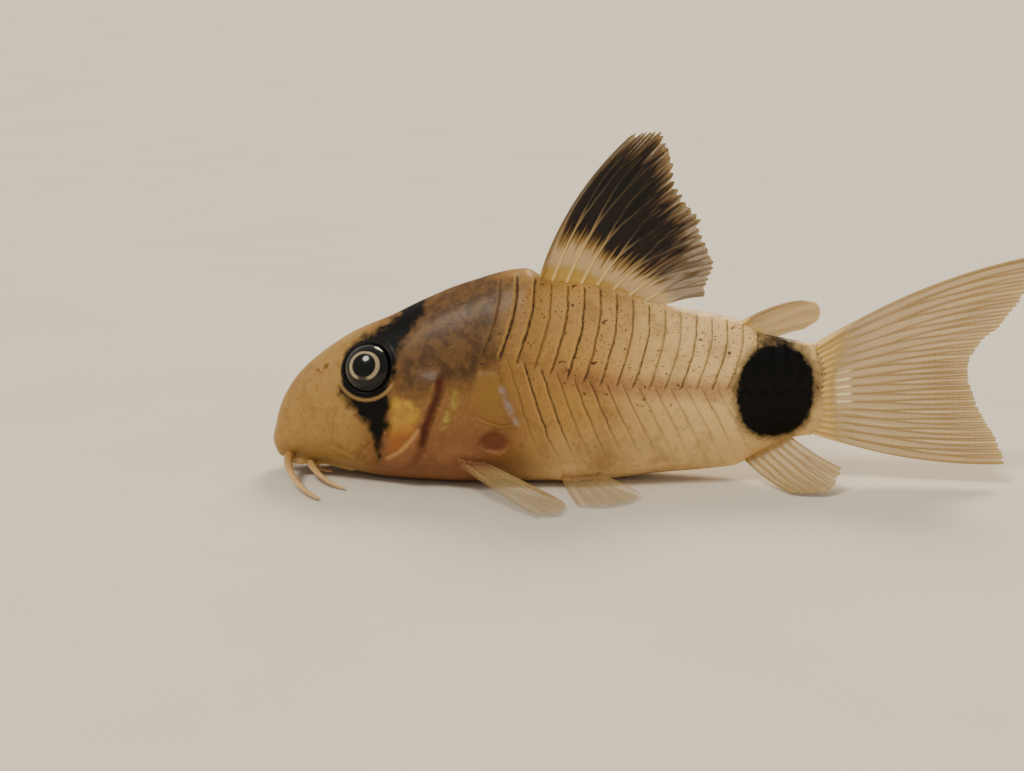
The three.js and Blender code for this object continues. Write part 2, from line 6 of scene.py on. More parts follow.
import bpy
import numpy as np
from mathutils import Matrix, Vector


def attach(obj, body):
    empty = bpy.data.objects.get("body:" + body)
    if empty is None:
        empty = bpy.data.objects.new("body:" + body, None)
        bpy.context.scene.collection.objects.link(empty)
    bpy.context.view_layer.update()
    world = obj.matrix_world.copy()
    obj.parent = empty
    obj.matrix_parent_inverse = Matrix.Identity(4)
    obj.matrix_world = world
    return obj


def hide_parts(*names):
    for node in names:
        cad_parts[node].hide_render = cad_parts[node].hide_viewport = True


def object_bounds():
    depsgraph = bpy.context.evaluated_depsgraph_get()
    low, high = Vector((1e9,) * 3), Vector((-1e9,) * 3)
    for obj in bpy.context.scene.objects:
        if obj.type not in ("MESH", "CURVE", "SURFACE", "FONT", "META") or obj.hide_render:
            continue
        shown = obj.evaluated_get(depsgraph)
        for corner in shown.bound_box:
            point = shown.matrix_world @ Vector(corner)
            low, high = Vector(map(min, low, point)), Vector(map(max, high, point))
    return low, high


bl_info = {
    "name": "Panda corydoras",
    "version": (1, 0, 0),
    "blender": (4, 5, 0),
    "location": "View3D > Sidebar > Corydoras",
    "description": "Builds the skin, fins, feelers and eyes of a resting panda corydoras",
    "category": "Object",
}

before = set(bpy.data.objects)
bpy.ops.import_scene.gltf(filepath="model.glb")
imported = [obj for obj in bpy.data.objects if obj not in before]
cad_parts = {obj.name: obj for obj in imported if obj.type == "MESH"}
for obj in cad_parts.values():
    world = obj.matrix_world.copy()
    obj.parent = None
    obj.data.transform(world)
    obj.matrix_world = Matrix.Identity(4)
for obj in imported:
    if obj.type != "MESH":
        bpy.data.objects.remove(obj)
CAD_LOW, CAD_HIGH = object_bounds()

# Every shape below is in millimetres in the fish's own frame: x from the snout to the tail,
# y to its right side, z up from the floor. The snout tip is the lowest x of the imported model.
MM = 0.001
SNOUT_START = 0.03
SNOUT_X = CAD_LOW.x / MM - SNOUT_START
STANDARD_LENGTH = 38.0

# Body sections: x, top, bottom, half width, height of the widest point as a share of the depth,
# and the roundness of the upper and lower halves (2 is an ellipse).
SECTIONS = (
    (0.0, 2.4, 2.4, 0.0, 0.5, 2.0, 2.0),
    (0.2, 3.3, 1.65, 1.05, 0.5, 2.0, 2.0),
    (0.6, 4.85, 1.05, 1.7, 0.45, 2.0, 2.0),
    (1.75, 6.85, 0.85, 2.45, 0.42, 2.0, 2.2),
    (3.9, 8.85, 0.75, 3.25, 0.42, 2.0, 2.4),
    (6.1, 10.25, 0.3, 3.8, 0.42, 2.0, 2.5),
    (8.5, 11.3, -0.08, 4.2, 0.4, 1.95, 2.6),
    (10.9, 12.5, -0.14, 4.6, 0.36, 1.9, 2.7),
    (13.9, 13.75, -0.16, 4.85, 0.33, 1.8, 2.7),
    (18.0, 14.75, -0.16, 4.7, 0.33, 1.75, 2.5),
    (19.4, 14.05, -0.16, 4.6, 0.34, 1.75, 2.4),
    (23.0, 13.7, -0.1, 4.1, 0.38, 1.75, 2.3),
    (26.8, 12.45, 0.35, 3.45, 0.43, 1.8, 2.1),
    (32.4, 11.45, 0.95, 2.35, 0.48, 1.9, 2.0),
    (34.5, 10.4, 2.1, 1.85, 0.5, 2.0, 2.0),
    (36.3, 10.0, 3.0, 1.45, 0.5, 2.0, 2.0),
    (STANDARD_LENGTH, 9.75, 3.3, 0.9, 0.5, 2.2, 2.2),
)
SECTION_KEYS = ("top", "bottom", "half", "wide", "upper", "lower")
LATERAL_LINE = ((15, 9.6), (17.4, 9.1), (19.6, 8.4), (23.1, 7.6), (27, 7.2), (31.8, 7), (38, 6.6))

# The angles that the plates leave free along the back and, at each end of the flank, the belly
BACK_GAP = 0.2
BELLY_GAP = ((17, 38), (0.85, 0.25))

# The two rows of bony plates: number, first rear edge, spacing at the front and rear, slant, and
# whether the row lies above the lateral line.
UPPER_ROW = {"count": 21, "first": 15.3, "pitch": (1.17, 1.0), "slant": 1.0, "high": True}
LOWER_ROW = {"count": 20, "first": 17.0, "pitch": (1.14, 1.0), "slant": 2.7, "high": False}

# Markings and bones as outlines seen from the side, as (x, z)
MASK = (
    (11.2, 13.0), (11.0, 11.9), (10.4, 10.8), (9.6, 9.7), (9.25, 9.0), (9.2, 8.1), (8.8, 7.2),
    (8.85, 6.1), (8.75, 4.5), (8.3, 2.9), (8.15, 2.0), (7.95, 2.6), (7.7, 3.5), (7.45, 4.4),
    (6.9, 5.1), (6.1, 5.8), (5.35, 6.5), (5.45, 7.7), (5.6, 8.9), (6.2, 9.7), (7.2, 10.25),
    (8.3, 10.9), (9.2, 11.5), (9.4, 13.0),
)
TAIL_SPOT = {"x": 35.15, "z": 6.65, "half_x": 2.65, "half_z": 3.2}
GILL_PATCH = ((9.0, 6.2), (10.4, 6.4), (10.95, 5.7), (10.9, 4.3), (10.2, 3.4), (9.5, 2.7), (8.8, 2.7))
GILL_EDGE = ((12.7, 8.2), (12.6, 7.2), (12.15, 5.8), (11.65, 4.4), (11.35, 3.2), (10.7, 2.0), (9.6, 1.2))
COVER_LOWER_EDGE = ((11.0, 4.4), (10.4, 3.6), (9.6, 2.8), (8.7, 2.2))
GLINT = ((13.35, 7.1), (13.5, 6.4), (13.1, 5.7), (12.6, 4.6))
SHOULDER_PLATE = ((15.0, 8.4), (16.4, 8.4), (16.9, 6.9), (17.6, 4.8), (16.5, 4.7), (15.3, 5.1), (14.4, 5.8))
SHOULDER_REAR = ((16.6, 7.3), (17.0, 6.3), (17.6, 4.9))
RED_PATCH = {"x": 16.1, "z": 3.6, "half_x": 0.95, "half_z": 0.8}
DUSK = (
    (9.9, 14.0), (15.5, 15.5), (17.2, 13.6), (16.6, 11.0), (16.2, 8.8), (14.6, 7.4), (12.7, 7.2),
    (11.0, 6.6), (9.3, 7.0), (9.3, 9.0), (10.4, 10.8), (11.0, 12.0),
)
CHEEK = ((5.2, 5.4), (7.0, 5.5), (7.5, 3.3), (6.4, 2.0), (4.9, 2.9))
FIN_BASES = (
    {"x": 13.7, "z": 2.3, "half_x": 1.5, "half_z": 0.9},
    {"x": 21.4, "z": 1.0, "half_x": 1.5, "half_z": 0.8},
)
LIP_LINE = ((2.0, 1.3), (3.6, 1.05), (5.9, 0.62))
SADDLE = {"x": 35.6, "z": 10.6, "half_x": 1.9, "half_z": 1.0}

EYE = {"x": 7.27, "z": 8.3, "radius": 1.72, "depth": 1.2, "sunk": 0.38, "back": 0.5}
# Nostrils: x, z and radius
NOSTRILS = ((4.25, 8.05, 0.2), (3.65, 7.75, 0.15))
MOUTH_BEND = 0.42  # how fast the mouth curves back towards its corners
# The upper lip, the mouth's groove and the lower lip: x at the middle, height and half width
LIPS = ((1.25, 0.3, 0.34), (1.75, -0.3, 0.17), (2.2, 0.26, 0.3))

# The eye's surroundings: how deep the socket is and between which radii its wall lies, and the
# height, radius and half width of the rim and of the fold and the gutter under the eye
SOCKET = {"depth": 0.75, "inner": 1.35, "outer": 1.66, "reach": 2.2}
EYE_RIM = (0.12, 1.84, 0.16)
EYE_FOLD = (0.12, 2.2, 0.17)
EYE_GUTTER = (-0.07, 1.98, 0.1)

# Heights of the relief on head and shoulder, in millimetres
RELIEF = {
    "cover": 0.34,
    "slit": -0.28,
    "inner_edge": -0.1,
    "cheek": 0.1,
    "shoulder": 0.16,
    "gutter": -0.06,
    "hollow": -0.14,
    "lip_fold": 0.12,
    "girdle": 0.22,
}
NOSTRIL_RIM = 0.16
NOSTRIL_DEPTH = 0.4
LATERAL_GROOVE = 0.6  # its depth as a share of the plates' lift

BARBELS = {
    "upper_barbel": {
        "root": 0.42,
        "tip": 0.1,
        "path": ((1.5, 1.2, 1.55), (1.2, 3.6, 1.7), (2.4, 6, 0.55), (4.5, 7.4, 0.2)),
    },
    "lower_barbel": {
        "root": 0.34,
        "tip": 0.09,
        "path": ((2.75, 1.1, 1.15), (3, 2.8, 1.15), (4, 4.2, 0.4), (5.9, 5, 0.2)),
    },
    "chin_barbel": {
        "root": 0.26,
        "tip": 0.09,
        "path": ((2.35, 0.45, 1.15), (2.6, 0.6, 0.35), (3.4, 0.95, 0.26), (4.3, 1.3, 0.25)),
    },
}

# Fins. root and margin: lines through the rays' two ends. bow: how far the first and the last ray bend
# off the straight. notch: how deep the margin is cut, as a share of a ray. spine, swell: how much the
# front ray and the root are thickened, in millimetres. soft: whether the rays hardly stand out.
FINS = {
    "dorsal_fin": {
        "rays": 9,
        "root": ((18.6, 0, 13.3), (22.5, 0, 13), (26.7, 0, 11.9)),
        "margin": (
            (25.3, 0, 24.2), (27.3, 0, 24.5), (28.2, 0, 21.4),
            (29.9, 0, 18.4), (30.8, 0, 15.3), (30.4, 0, 12.95),
        ),
        "bow": ((-1.6, 0, 1), (-0.3, 0, 0.4)),
        "notch": 0.05,
        "spine": 0.16,
        "swell": 0.2,
    },
    "adipose_fin": {
        "rays": 4,
        "root": ((32.7, 0, 11.1), (33.7, 0, 10.4), (34.7, 0, 9.9)),
        "margin": ((36.9, 0, 12.8), (38, 0, 12.5), (38.1, 0, 11.6), (37.1, 0, 10.75)),
        "bow": ((-0.2, 0, 0.5), (-0.1, 0, 0.2)),
        "notch": 0.01,
        "spine": 0.2,
        "swell": 0.2,
        "soft": True,
    },
    "anal_fin": {
        "rays": 8,
        "root": ((33, 0, 1.7), (34.6, 0, 2.6), (36.1, 0, 3.4)),
        "margin": ((36.4, -4.1, 0.25), (37.8, -4.4, 0.3), (39.2, -3.9, 0.7), (39.8, -2.9, 1.7)),
        "bow": ((-0.2, -0.1, -0.45), (-0.2, -0.1, -0.25)),
        "notch": 0.04,
        "spine": 0.04,
        "swell": 0.2,
    },
    "caudal_fin": {
        "rays": 17,
        "root": ((37.9, 0, 9.6), (37.9, 0, 6.5), (37.9, 0, 3.45)),
        "margin": (
            (53, -0.6, 16.3), (51.2, 0.1, 12.2), (48.5, 0.2, 8.6),
            (48.9, 0, 6.2), (50.2, -0.3, 4), (51.3, -0.7, 1.6),
        ),
        "bow": ((-0.3, 0.4, 1.7), (0, 0.3, -1.5)),
        "notch": 0.02,
        "spine": 0.08,
        "swell": 0.42,
    },
    "pectoral_fin": {
        "rays": 9,
        "root": ((12.9, 3.9, 2.5), (13.9, 3.8, 2.3), (14.9, 3.9, 2.1)),
        "margin": (
            (19.4, 10.3, 0.3), (20.9, 9.6, 0.25), (21.3, 8.3, 0.25), (20.8, 7.1, 0.3), (19.4, 6, 0.5),
        ),
        "bow": ((-0.5, 0.6, 0.25), (-0.2, 0.3, 0.2)),
        "notch": 0.04,
        "spine": 0.16,
        "swell": 0.24,
    },
    "pelvic_fin": {
        "rays": 6,
        "root": ((20.4, 2.3, 1), (21.4, 2.2, 1), (22.4, 2.3, 1.05)),
        "margin": ((21.9, 7.7, 0.25), (23.7, 7.9, 0.25), (25.3, 7, 0.25), (26.2, 5.3, 0.35)),
        "bow": ((-0.2, 0.4, 0.1), (0.2, 0.2, 0.1)),
        "notch": 0.04,
        "spine": 0.05,
        "swell": 0.2,
    },
}
SIDES = (("right", 1.0), ("left", -1.0))

# How each ray parts, twice: how far as a share of the gap to the next, and where along it
BRANCHES = ((0.25, 0.32, 0.72), (0.11, 0.6, 0.95))
RAY_REACH = 0.12  # half the width of a ray at its root, in millimetres
RAY_NARROWING = 0.065  # how much less it is at the margin
WEB_WAVE = 0.05  # how far the web bulges between rays, in millimetres
ROOT_REACH = 0.24  # share of a fin's length over which its root thins out
SNOUT_RINGS = 34
EYE_STRETCH = (3.0, 10.5)  # the skin's rings lie closer between these, for the folds round the eye
FEELER_SIDES = 16
FEELER_RINGS = 48
FEELER_WOBBLE = 0.12  # unevenness of a feeler's radius, as a share of it
EYE_MESH = (40, 64)  # rings and points round one
EYE_OVAL = 0.1  # how much wider the eye's pale ring is fore and aft than above and below

# The camera stands where it sees the fish as the photograph does
CAMERA = {
    "azimuth": 4.0,
    "elevation": 14.0,
    "distance": 119.57,
    "target": (16.98, 0.0, 6.42),
    "lens": 60.0,
    "sensor": 36.0,
}
# Light from wide patches of sky: azimuth, elevation and width in degrees, and colour
SUNS = {"key": (-132, 56, 18, "#FFF7EA"), "back": (70, 48, 25, "#FFEBC8")}
FLOOR_REACH = 3.0  # half the floor's side, in metres


def linear(hex_colour):
    """An sRGB hex colour as a linear RGBA tuple."""
    channels = [int(hex_colour[i : i + 2], 16) / 255 for i in (1, 3, 5)]
    return (*(c / 12.92 if c <= 0.04045 else ((c + 0.055) / 1.055) ** 2.4 for c in channels), 1.0)


def length_setting(name, description, millimetres, least=0.0):
    """A property for a length, which Blender keeps in metres."""
    default, least = millimetres * MM, least * MM
    return bpy.props.FloatProperty(
        name=name, description=description, default=default, min=least, precision=5, unit="LENGTH"
    )


def colour_setting(name, description, hex_colour):
    """A property for a colour, which Blender keeps as linear red, green, blue and alpha."""
    default = linear(hex_colour)
    return bpy.props.FloatVectorProperty(
        name=name, description=description, default=default, min=0, max=1, size=4, subtype="COLOR"
    )


class SkinSettings(bpy.types.PropertyGroup):
    """Sizes and colours of the skin"""

    ring_step: length_setting("Ring step", "Distance between two rings of the skin", 0.13, 0.05)
    around: bpy.props.IntProperty(
        name="Points round", description="Points round one ring", default=248, min=24
    )
    plate_lift: length_setting("Plate lift", "Height of a bony plate's rear edge", 0.13)
    seam_width: bpy.props.FloatProperty(
        name="Seam width",
        description="Reach of the dark line on each side of a seam, as a share of a plate",
        default=0.095,
        min=0.01,
        max=0.5,
        subtype="FACTOR",
    )
    snout: colour_setting("Snout", "Colour of the snout", "#A38046")
    # front, middle and rear pale out from the head to the tail stalk: the darker front is painted shade
    front: colour_setting("Front", "Colour behind the head", "#8A6432")
    middle: colour_setting("Middle", "Colour of the middle of the flank", "#AE8546")
    rear: colour_setting("Rear", "Colour of the tail stalk and the belly behind the pelvic fins", "#E6C284")
    belly: colour_setting("Belly", "Colour of the front belly and the gills", "#855436")
    dusk: colour_setting("Dusk", "Colour of the dusky nape", "#3B2512")
    black: colour_setting("Black", "Colour of mask and spot", "#040303")


class FinSettings(bpy.types.PropertyGroup):
    """Sizes and colours of the fins"""

    columns_per_ray: bpy.props.IntProperty(
        name="Columns a ray", description="Mesh columns from one ray to the next", default=16, min=4
    )
    rows: bpy.props.IntProperty(
        name="Rows", description="Mesh rows from the root to the margin", default=72, min=8
    )
    membrane: length_setting("Membrane", "Thickness of the web between rays", 0.07, 0.01)
    ray_height: length_setting("Ray height", "How far a ray stands out at its root", 0.11)
    web: colour_setting("Web", "Colour of the membrane", "#C4A871")
    ray: colour_setting("Ray", "Colour of the rays", "#9B7F4A")
    root: colour_setting("Root", "Colour of the fins' fleshy roots", "#DAB873")
    flesh: colour_setting("Flesh", "Colour of the paired fins next to the belly", "#855436")


class EyeSettings(bpy.types.PropertyGroup):
    """Sizes and colours of the eyes"""

    pupil: length_setting("Pupil", "Radius of the pupil", 0.8, 0.1)
    ring_width: length_setting("Ring width", "Width of the pale ring", 0.24)
    ring: colour_setting("Ring", "Colour of the ring", "#A39270")


class StageSettings(bpy.types.PropertyGroup):
    """Floor and light"""

    floor: colour_setting("Floor", "Colour of the floor", "#DAD3C6")
    key: bpy.props.FloatProperty(
        name="Key light", description="Light from the front, in watts a square metre", default=2.0, min=0
    )
    back: bpy.props.FloatProperty(
        name="Back light", description="Light from behind, in watts a square metre", default=2.5, min=0
    )
    room: bpy.props.FloatProperty(
        name="Room light", description="Brightness of the room", default=0.58, min=0
    )


# Curves and fields


def smooth_curve(points):
    """A cubic through (x, value) pairs that makes no bump between two of them."""
    xs, values = (np.array(column, float) for column in zip(*points))
    chord = np.diff(values) / np.diff(xs)
    before, after = chord[:-1], chord[1:]
    same = before * after > 0
    middle = np.where(same, 2 * before * after / np.where(same, before + after, 1), 0)
    slopes = np.concatenate(([chord[0]], middle, [chord[-1]]))

    def at(x):
        i = np.clip(np.searchsorted(xs, x, side="left") - 1, 0, len(xs) - 2)
        width = xs[i + 1] - xs[i]
        t = np.clip((x - xs[i]) / width, 0, 1)
        rise = values[i + 1] - values[i]
        lead, trail = slopes[i] * width - rise, rise - slopes[i + 1] * width
        return values[i] + rise * t + t * (1 - t) * (lead * (1 - t) + trail * t)

    return at


def spline(points):
    """A smooth curve through points, as a function from shares of its length to places."""
    p = np.array(points, float)
    padded = np.vstack([2 * p[0] - p[1], p, 2 * p[-1] - p[-2]])

    def at(share):
        along = np.clip(share, 0, 1) * (len(p) - 1)
        i = np.minimum(along.astype(int), len(p) - 2)
        w = (along - i)[:, None]
        a, b, c, d = (padded[i + k] for k in range(4))
        first, mid, last = (
            np.maximum(np.linalg.norm(q - r, axis=1) ** 0.5, 1e-4)[:, None]
            for q, r in ((b, a), (c, b), (d, c))
        )
        leave = mid * ((b - a) / first - (c - a) / (first + mid) + (c - b) / mid)
        arrive = mid * ((c - b) / mid - (d - b) / (mid + last) + (d - c) / last)
        cubic = 2 * b - 2 * c + leave + arrive
        square = -3 * b + 3 * c - 2 * leave - arrive
        return b + leave * w + square * w**2 + cubic * w**3

    return at


def ramp(value, low, high):
    """0 below low, 1 above high, and a smooth step between."""
    t = np.clip((value - low) / (high - low), 0, 1)
    return t * t * (3 - 2 * t)


def bump(distance, width):
    return np.exp(-((distance / width) ** 2))


def line_distance(points, x, z):
    """Distance from each (x, z) to a broken line."""
    best = np.full(np.shape(x), 1e9)
    for (ax, az), (bx, bz) in zip(points[:-1], points[1:]):
        dx, dz = bx - ax, bz - az
        t = np.clip(((x - ax) * dx + (z - az) * dz) / (dx * dx + dz * dz), 0, 1)
        best = np.minimum(best, np.hypot(x - ax - t * dx, z - az - t * dz))
    return best


def inside_distance(points, x, z):
    """Distance from each (x, z) to an outline, positive inside it."""
    closed = (*points, points[0])
    crossed = np.zeros(np.shape(x), bool)
    for (ax, az), (bx, bz) in zip(closed[:-1], closed[1:]):
        if az != bz:
            crossed ^= ((az > z) != (bz > z)) & (x < (bx - ax) * (z - az) / (bz - az) + ax)
    return np.where(crossed, 1, -1) * line_distance(closed, x, z)


def oval_distance(oval, x, z, power=2.0):
    """Rough distance in millimetres to an oval's edge, positive inside it."""
    along, across = (x - oval["x"]) / oval["half_x"], (z - oval["z"]) / oval["half_z"]
    reach = np.abs(along) ** power + np.abs(across) ** power
    return (1 - reach ** (1 / power)) * min(oval["half_x"], oval["half_z"])


# The body's surface

CURVES = {
    key: smooth_curve([(math.sqrt(row[0] / STANDARD_LENGTH), row[1 + i]) for row in SECTIONS])
    for i, key in enumerate(SECTION_KEYS)
}
lateral_line = smooth_curve(LATERAL_LINE)

# The body's flesh ends inside the root of the tail fin: where, and how much thinner and lower it is there
LOBE_END = 39.2
LOBE_THINNING = 0.95
LOBE_NARROWING = 1.3


def section(x):
    along = np.sqrt(np.clip(x, 0, STANDARD_LENGTH) / STANDARD_LENGTH)
    at = {key: curve(along) for key, curve in CURVES.items()}
    lobe = np.clip((x - STANDARD_LENGTH) / (LOBE_END - STANDARD_LENGTH), 0, 1)
    at["half"] = at["half"] * (1 - LOBE_THINNING * lobe**0.8)
    at["top"] = at["top"] - LOBE_NARROWING * lobe**2
    at["bottom"] = at["bottom"] + LOBE_NARROWING * lobe**2
    at["widest"] = at["bottom"] + (at["top"] - at["bottom"]) * at["wide"]
    return at


def skin_point(x, angle):
    """The smooth body at x and an angle from the back (0) down the right side to the belly (pi)."""
    s = section(x)
    up, out = np.cos(angle), np.sin(angle)
    power = 2 / np.where(up > 0, s["upper"], s["lower"])
    rise = np.where(up > 0, s["top"] - s["widest"], s["widest"] - s["bottom"])
    y = np.sign(out) * s["half"] * np.abs(out) ** power
    z = s["widest"] + np.sign(up) * rise * np.abs(up) ** power
    return np.stack([x + 0 * angle, y, np.maximum(z, 0)], axis=-1)


def skin_normal(x, angle):
    step = 0.04
    along = skin_point(x + step, angle) - skin_point(np.maximum(x - step, 0), angle)
    around = skin_point(x, angle + step) - skin_point(x, angle - step)
    normal = np.cross(along, around)
    return normal / np.maximum(np.linalg.norm(normal, axis=-1, keepdims=True), 1e-9)


def angle_at(x, z):
    """The angle on the right side at which the surface has a given height."""
    s = section(np.asarray(x, float))
    high = z > s["widest"]
    power = np.where(high, s["upper"], s["lower"]) / 2
    depth = np.where(high, s["top"] - s["widest"], s["widest"] - s["bottom"])
    cosine = np.clip(np.abs(z - s["widest"]) / depth, 0, 1) ** power
    return np.arccos(np.where(high, cosine, -cosine))


def flank_place(x, z, offset=0.0, side=1.0):
    """A point over the flank and the way the flank faces there."""
    x = np.array(float(x))
    angle = angle_at(x, z)
    normal = skin_normal(x, angle)
    place = skin_point(x, angle) + normal * offset
    flip = np.array([1, side, 1])
    return place * flip, normal * flip


# Plates


def row_edges(row):
    """Where the rear edges of a row's plates meet the lateral line, from one plate ahead of the first."""
    front, rear = row["pitch"]
    steps = front + (rear - front) * np.arange(row["count"]) / (row["count"] - 1)
    return row["first"] + np.concatenate(([-front], np.cumsum(steps) - front))


def row_share(row, x, angle):
    """0 at the lateral line, 1 at the row's far edge near the back or belly."""
    middle = angle_at(x, lateral_line(x))
    edge = BACK_GAP if row["high"] else math.pi - np.interp(x, *BELLY_GAP)
    return (angle - middle) / (edge - middle)


def row_phase(row, x, share):
    """Which plate of the row a point is on, as a number that grows by one from plate to plate."""
    s = np.clip(share, 0, 1)
    bend = np.sin(np.pi / 2 * np.minimum(1, s / 0.65)) if row["high"] else 1 - (1 - s) ** 1.6
    edges = row_edges(row)
    straight = x - row["slant"] * bend
    inner = np.interp(straight, edges, np.arange(len(edges)))
    before = (straight - edges[0]) / row["pitch"][0]
    return np.where(straight < edges[0], before, inner)


def plate_fields(x, angle):
    """Phase and presence of the plates at points of the flank, and their height as a share of the lift."""
    fields = {}
    groove = bump((angle - angle_at(x, lateral_line(x))) * section(x)["half"], 0.1) * ramp(x, 16, 18)
    lift = -LATERAL_GROOVE * groove
    for name, row in (("upper", UPPER_ROW), ("lower", LOWER_ROW)):
        share = row_share(row, x, angle)
        phase = row_phase(row, x, share)
        present = ramp(share, -0.02, 0.02) * ramp(1.05 - share, 0, 0.12) * ramp(phase, 0.4, 1.4)
        present = present * ramp(len(row_edges(row)) - 1 - phase, -0.3, 0.2)
        part = phase - np.floor(phase)
        lift = lift + present * part * (1 - ramp(part, 0.9, 1.0))
        fields[f"{name}_phase"] = phase
        fields[f"{name}_present"] = present
    return fields, lift


# Relief of the head and shoulder


def eye_place(side=1.0):
    return flank_place(EYE["x"], EYE["z"], -EYE["sunk"], side)


def eye_relief(points):
    """The relief round the eye on points of the right side, their distance from it and its fold's share."""
    centre, normal = eye_place()
    offset = points - centre
    depth = offset @ normal
    across = np.linalg.norm(offset - depth[..., None] * normal, axis=-1)
    down = ramp(np.clip(-offset[..., 2] / np.maximum(across, 1e-6), 0, 1), 0.1, 0.5)
    near = np.abs(depth) < SOCKET["reach"]
    socket = -SOCKET["depth"] * (1 - ramp(across, SOCKET["inner"], SOCKET["outer"]))
    rings = (EYE_RIM, EYE_FOLD, EYE_GUTTER)
    rim, fold, gutter = (bump(across - radius, width) for _, radius, width in rings)
    relief = socket + EYE_RIM[0] * rim + (EYE_FOLD[0] * fold + EYE_GUTTER[0] * gutter) * down
    return np.where(near, relief, 0), np.where(near, across, 9), np.where(near, fold * down, 0)


def nostril_relief(points):
    relief = np.zeros(points.shape[:-1])
    for x, z, radius in NOSTRILS:
        centre, _ = flank_place(x, z)
        away = np.linalg.norm(points - centre, axis=-1)
        relief += NOSTRIL_RIM * bump(away - radius * 1.5, radius * 0.55)
        relief -= NOSTRIL_DEPTH * bump(away, radius)
    return relief


def gill_edge():
    """The rear edge of the gill cover as many short steps, from the top down."""
    return spline(GILL_EDGE)(np.linspace(0, 1, 28))


def head_relief(x, z):
    """Gill cover, cheek bone, shoulder plate and lip fold, in millimetres off the smooth body."""
    edge = gill_edge()
    ahead = np.interp(z, edge[::-1, 1], edge[::-1, 0]) - x
    upright = ramp(z, 0.9, 2) * (1 - ramp(z, 7.4, 8.6))
    cheek, shoulder = inside_distance(CHEEK, x, z), inside_distance(SHOULDER_PLATE, x, z)
    shares = {
        "cover": ramp(ahead, -0.06, 0.06) * (1 - ramp(ahead, 0.4, 3.4)) * upright,
        "slit": bump(line_distance(edge, x + 0.15, z), 0.16) * upright,
        "inner_edge": bump(line_distance(COVER_LOWER_EDGE, x, z), 0.14),
        "cheek": ramp(cheek, -0.1, 0.5),
        "shoulder": ramp(shoulder, -0.05, 0.18),
        "gutter": bump(cheek + 0.1, 0.14) + bump(shoulder + 0.12, 0.1),
        "hollow": ramp(oval_distance(RED_PATCH, x, z), -0.1, 0.35),
        "lip_fold": bump(line_distance(LIP_LINE, x, z), 0.16),
        "girdle": sum(ramp(oval_distance(base, x, z), -0.3, 0.5) for base in FIN_BASES),
    }
    return sum(RELIEF[name] * share for name, share in shares.items())


def lip_relief(points):
    """Two soft lips under the snout, with the mouth's groove between them."""
    x, y, z = points[..., 0], points[..., 1], points[..., 2]
    under = (1 - ramp(z, 1.5, 2.6)) * (1 - ramp(np.abs(y), 1.5, 2.1))
    back = x - MOUTH_BEND * y**2
    return under * sum(height * bump(back - middle, width) for middle, height, width in LIPS)


# Meshes


def to_row(points):
    """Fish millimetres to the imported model's metres."""
    moved = np.asarray(points, float) + np.array([SNOUT_X, 0.0, 0.0])
    return moved * MM


def make_piece(name, points, faces, fields):
    """A mesh object from fish-frame points, with a number at each point for every field."""
    mesh = bpy.data.meshes.new(name)
    mesh.from_pydata(to_row(points).tolist(), [], faces)
    for field, values in fields.items():
        attribute = mesh.attributes.new(field, "FLOAT", "POINT")
        attribute.data.foreach_set("value", np.asarray(values, np.float32).ravel())
    mesh.polygons.foreach_set("use_smooth", [True] * len(mesh.polygons))
    mesh.update()
    piece = bpy.data.objects.new(name, mesh)
    bpy.context.scene.collection.objects.link(piece)
    return piece


def closed_faces(rings, count):
    """Quads that join rings, and fans to the two points that follow them, one at each end."""
    faces = []
    for r in range(rings - 1):
        for i in range(count):
            j = (i + 1) % count
            faces.append((r * count + i, r * count + j, (r + 1) * count + j, (r + 1) * count + i))
    first, last = rings * count, rings * count + 1
    for i in range(count):
        j = (i + 1) % count
        faces.append((first, j, i))
        faces.append((last, (rings - 1) * count + i, (rings - 1) * count + j))
    return faces


def fit_piece(piece, material, slot, *nodes):
    """Gives a piece its finish and sets it in place of its CAD nodes."""
    piece.data.materials.append(material)
    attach(piece, "root")
    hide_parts(*nodes)


def skin_stations(step):
    """Where the rings of the skin lie: closest at the snout's tip, and close along the eye."""
    snout_end, eye_end = EYE_STRETCH
    snout = np.linspace(math.sqrt(SNOUT_START), math.sqrt(snout_end), SNOUT_RINGS) ** 2
    eye = np.arange(snout_end + step, eye_end, step * 0.7)
    return np.concatenate([snout, eye, np.arange(eye_end, LOBE_END, step), [LOBE_END]])


def skin_fields(x, points):
    """Where each marking lies, as distances in millimetres or shares of one."""
    z = points[..., 2]
    s = section(x)
    return {
        "mask": inside_distance(MASK, x, z),
        "tail_spot": oval_distance(TAIL_SPOT, x, z, 2.3),
        "saddle": oval_distance(SADDLE, x, z),
        "gill_patch": inside_distance(GILL_PATCH, x, z),
        "cover_edge": line_distance(COVER_LOWER_EDGE, x, z),
        "gill_line": line_distance(gill_edge()[2:18], x + 0.25, z),
        "glint": line_distance(GLINT, x, z),
        "shoulder": inside_distance(SHOULDER_PLATE, x, z),
        "shoulder_rear": line_distance(SHOULDER_REAR, x, z),
        "red_patch": oval_distance(RED_PATCH, x, z),
        "dusk": inside_distance(DUSK, x, z),
        "lip_line": line_distance(LIP_LINE, x, z),
        "lateral": np.abs(z - lateral_line(x)),
        "height": (z - s["bottom"]) / np.maximum(s["top"] - s["bottom"], 0.1),
        "along": x + 0 * z,
    }


